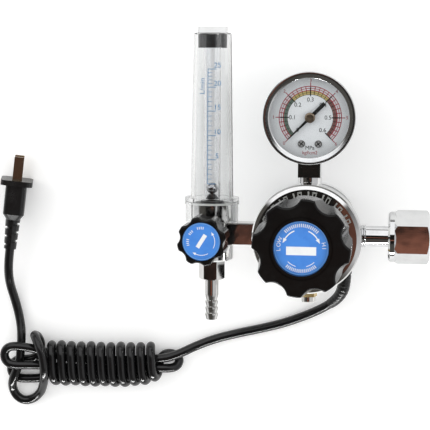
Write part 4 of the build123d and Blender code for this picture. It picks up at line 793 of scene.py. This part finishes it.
# ---------------------------------------------------------------- mains lead
# A round vinyl lead, black and glossy. It leaves a gland in the heater housing, runs out flat, and is
# folded back on itself and bound with eleven turns of its own length; then two loops and a ring, and a
# straight end to the plug.
lead_width = 0.0062
out_run = [(21.8, -30, 16), (21.8, -36, 16), (20.4, -42.3, 14.2), (16.4, -48.2, 11.2), (10, -53.2, 8),
           (1.8, -58, 5.4), (-8.4, -62.7, 3.8), (-21, -67.5, 3.1), (-35, -71.3, 3.1), (-51, -75.1, 3.1),
           (-67, -79.5, 3.6), (-80, -84.5, 6.2), (-90.5, -89.5, 9.2), (-98.5, -92.5, 10.4),
           (-107, -93.7, 10.4)]
folded = [(-117, -94.5, 10.2), (-132, -95.9, 10.0), (-148, -96.1, 10.0), (-164, -95.7, 10.0),
          (-176, -94.1, 9.8), (-186, -91.9, 10.0), (-195.5, -88.5, 13.2), (-207.4, -86.9, 15.6),
          (-212.6, -88.8, 15.8), (-214.6, -93.8, 15.4), (-212.6, -98.8, 15.4), (-207.4, -100.7, 15.6),
          (-195.5, -100.7, 13.2), (-186, -101.3, 10.2), (-176, -102.3, 10.0), (-164, -102.4, 10.0),
          (-148, -102.4, 10.0), (-132, -102.3, 10.0), (-118, -101.1, 9.8)]
near_bight = [(-109, -100.3, 9.9), (-101.5, -100.4, 9.4), (-96.2, -100.3, 7.8), (-93.0, -99, 5.9),
              (-91.7, -95.9, 4.3), (-93.0, -92.8, 3.4), (-96.8, -91.1, 3.1), (-101.8, -91.2, 3.1),
              (-105.6, -94.6, 3.2)]


def binding_turns(turns, points_per_turn):
    """The turns round the fold, in millimetres: each goes round a flattened oval in Y and Z while it moves
    along -X by one pitch. The first turns are narrower and sit further back."""
    pitch, half_height, flatness = 7.05, 7.0, 2.4
    turn = np.arange(1, turns * points_per_turn + 2) / points_per_turn
    angle = np.radians(-75) - 2 * np.pi * turn
    reach = 13.0 + 0.25 * np.sin(2.1 * turn) - 3.2 * np.exp(-turn / 0.9)
    middle = -95.3 - 3.9 * (1 - np.exp(-turn / 2.0))
    side = (reach - half_height) * np.tanh(flatness * np.cos(angle)) / np.tanh(flatness)
    side += half_height * np.cos(angle)
    return np.stack([-105.4 - pitch * turn, middle + side, 10.1 + half_height * np.sin(angle)], axis=-1)


far_loops = [(-185.0, -108.5, 3.1), (-189.8, -111.9, 3.1), (-196.4, -112.8, 3.1), (-206.8, -113.2, 3.1),
             (-211.6, -111.2, 3.1), (-213.6, -106.3, 3.1), (-211.6, -101.3, 3.1), (-206.6, -99.3, 3.1),
             (-196.4, -98.7, 3.1), (-191.8, -93.9, 3.1), (-191, -87.1, 3.4), (-192.4, -81.5, 6.0),
             (-193.6, -79.3, 11.2), (-191.6, -79.9, 16.4), (-188, -84.5, 20.4), (-185.0, -91.9, 21.6),
             (-184, -99.9, 21.2), (-185, -107.9, 17.8), (-187.4, -114.9, 11.4), (-191, -121.9, 5.6),
             (-196.6, -127.3, 3.1), (-203.4, -129.3, 3.1), (-209.4, -126.3, 3.1), (-211.9, -120.1, 4.6),
             (-210.6, -113.3, 9.0), (-207.4, -106.5, 9.8), (-205.0, -98.9, 9.4), (-204.0, -89.9, 9.3)]
plug_run = [(-203.8, -81.5, 7.8), (-204.9, -73.3, 5.6), (-207.2, -64.3, 4.0), (-209.8, -54.3, 4.6),
            (-211.6, -44.9, 8.0), (-211.4, -36.1, 12.0), (-210.44, -27.04, 14.3), (-209.4, -18.6, 14.3)]
route = np.concatenate([out_run, folded, near_bight, binding_turns(11, 12), far_loops, plug_run]) * 0.001


def lead_curve(name, points, width):
    """One open spline through the route, drawn as a round tube."""
    drawn = bpy.data.curves.new(name, "CURVE")
    drawn.dimensions = "3D"
    spline = drawn.splines.new("NURBS")
    spline.points.add(len(points) - 1)
    spline.points.foreach_set("co", np.concatenate([points, np.ones((len(points), 1))], axis=1).ravel())
    spline.order_u = 3
    spline.use_endpoint_u = True
    spline.resolution_u = 8
    drawn.resolution_u = 8
    drawn.render_resolution_u = 0
    drawn.bevel_depth = width / 2
    drawn.bevel_resolution = 6
    drawn.use_fill_caps = True
    made = bpy.data.objects.new(name, drawn)
    scene.collection.objects.link(made)
    return made


mains_lead = lead_curve("mains_lead", route, lead_width)
vinyl = moulding("lead_vinyl", (0.0056, 0.0055, 0.0058), roughness=0.16, peel=0.00003)
mains_lead.data.materials.append(vinyl)
dress(moulding("gland_nylon", (0.014, 0.014, 0.014), roughness=0.32), "cord_gland")


def centreline(points):
    """Points of the lead's own spline, from a copy of the curve with no thickness."""
    bare = lead_curve("bare_line", points, 0.0)
    line = bpy.data.meshes.new_from_object(bare)
    spots = np.zeros(len(line.vertices) * 3)
    line.vertices.foreach_get("co", spots)
    bpy.data.objects.remove(bare)
    bpy.data.meshes.remove(line)
    return spots.reshape(-1, 3)


def sleeve(name, spots, ways, radius, count=32):
    """A closed skin round a line: at each point a circle of the given radius square to the line, whose
    sides are kept level. The two ends are closed by a point on the line."""
    ways = ways / np.linalg.norm(ways, axis=1, keepdims=True)
    side = np.cross(ways, (0.0, 0.0, 1.0))
    side /= np.linalg.norm(side, axis=1, keepdims=True)
    top = np.cross(side, ways)
    angle = np.linspace(0, 2 * np.pi, count, endpoint=False)[None, :, None]
    outward = np.cos(angle) * side[:, None] + np.sin(angle) * top[:, None]
    return tube_skin(name, spots[:, None] + radius[:, None, None] * outward, spots[[0, -1]])


line = centreline(route)
far = np.concatenate([[0], np.cumsum(np.linalg.norm(np.diff(line, axis=0), axis=1))])
sleeve_length, groove_depth, groove_pitch = 0.026, 0.00012, 0.0026
along = np.linspace(0.0, sleeve_length, 90)
sleeve_line = np.stack([np.interp(along, far, line[:, i]) for i in range(3)], axis=-1)
taper = np.interp(along, [0, 0.001, 0.022, sleeve_length], [0.0044, 0.0046, 0.0037, 0.0034])
in_groove = (np.sin(along / groove_pitch * 2 * np.pi) > 0.2) & (along > 0.002) & (along < 0.0235)
relief = sleeve("lead_relief", sleeve_line, np.gradient(sleeve_line, axis=0),
                taper - groove_depth * in_groove)
relief.data.materials.append(moulding("relief_vinyl", (0.0070, 0.0070, 0.0070), roughness=0.26))
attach(relief, "regulator")
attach(mains_lead, "regulator")
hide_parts("cord_run", "cord_hank", "cord_lead")

# ---------------------------------------------------------------- plug
# Moulded on the end of the lead in black vinyl, satin where the mould was etched. Two flat brass blades are
# set in it.
dress(moulding("plug_vinyl", (0.0080, 0.0078, 0.0078), roughness=0.24, peel=0.00004), "plug_body")
dress(finish("blade_brass", (0.60, 0.47, 0.33), (0.42, 0.30, 0.19), roughness=0.20, spread=0.20,
             patch=200.0, grain=3500.0, Metallic=1.0), "plug_blades")
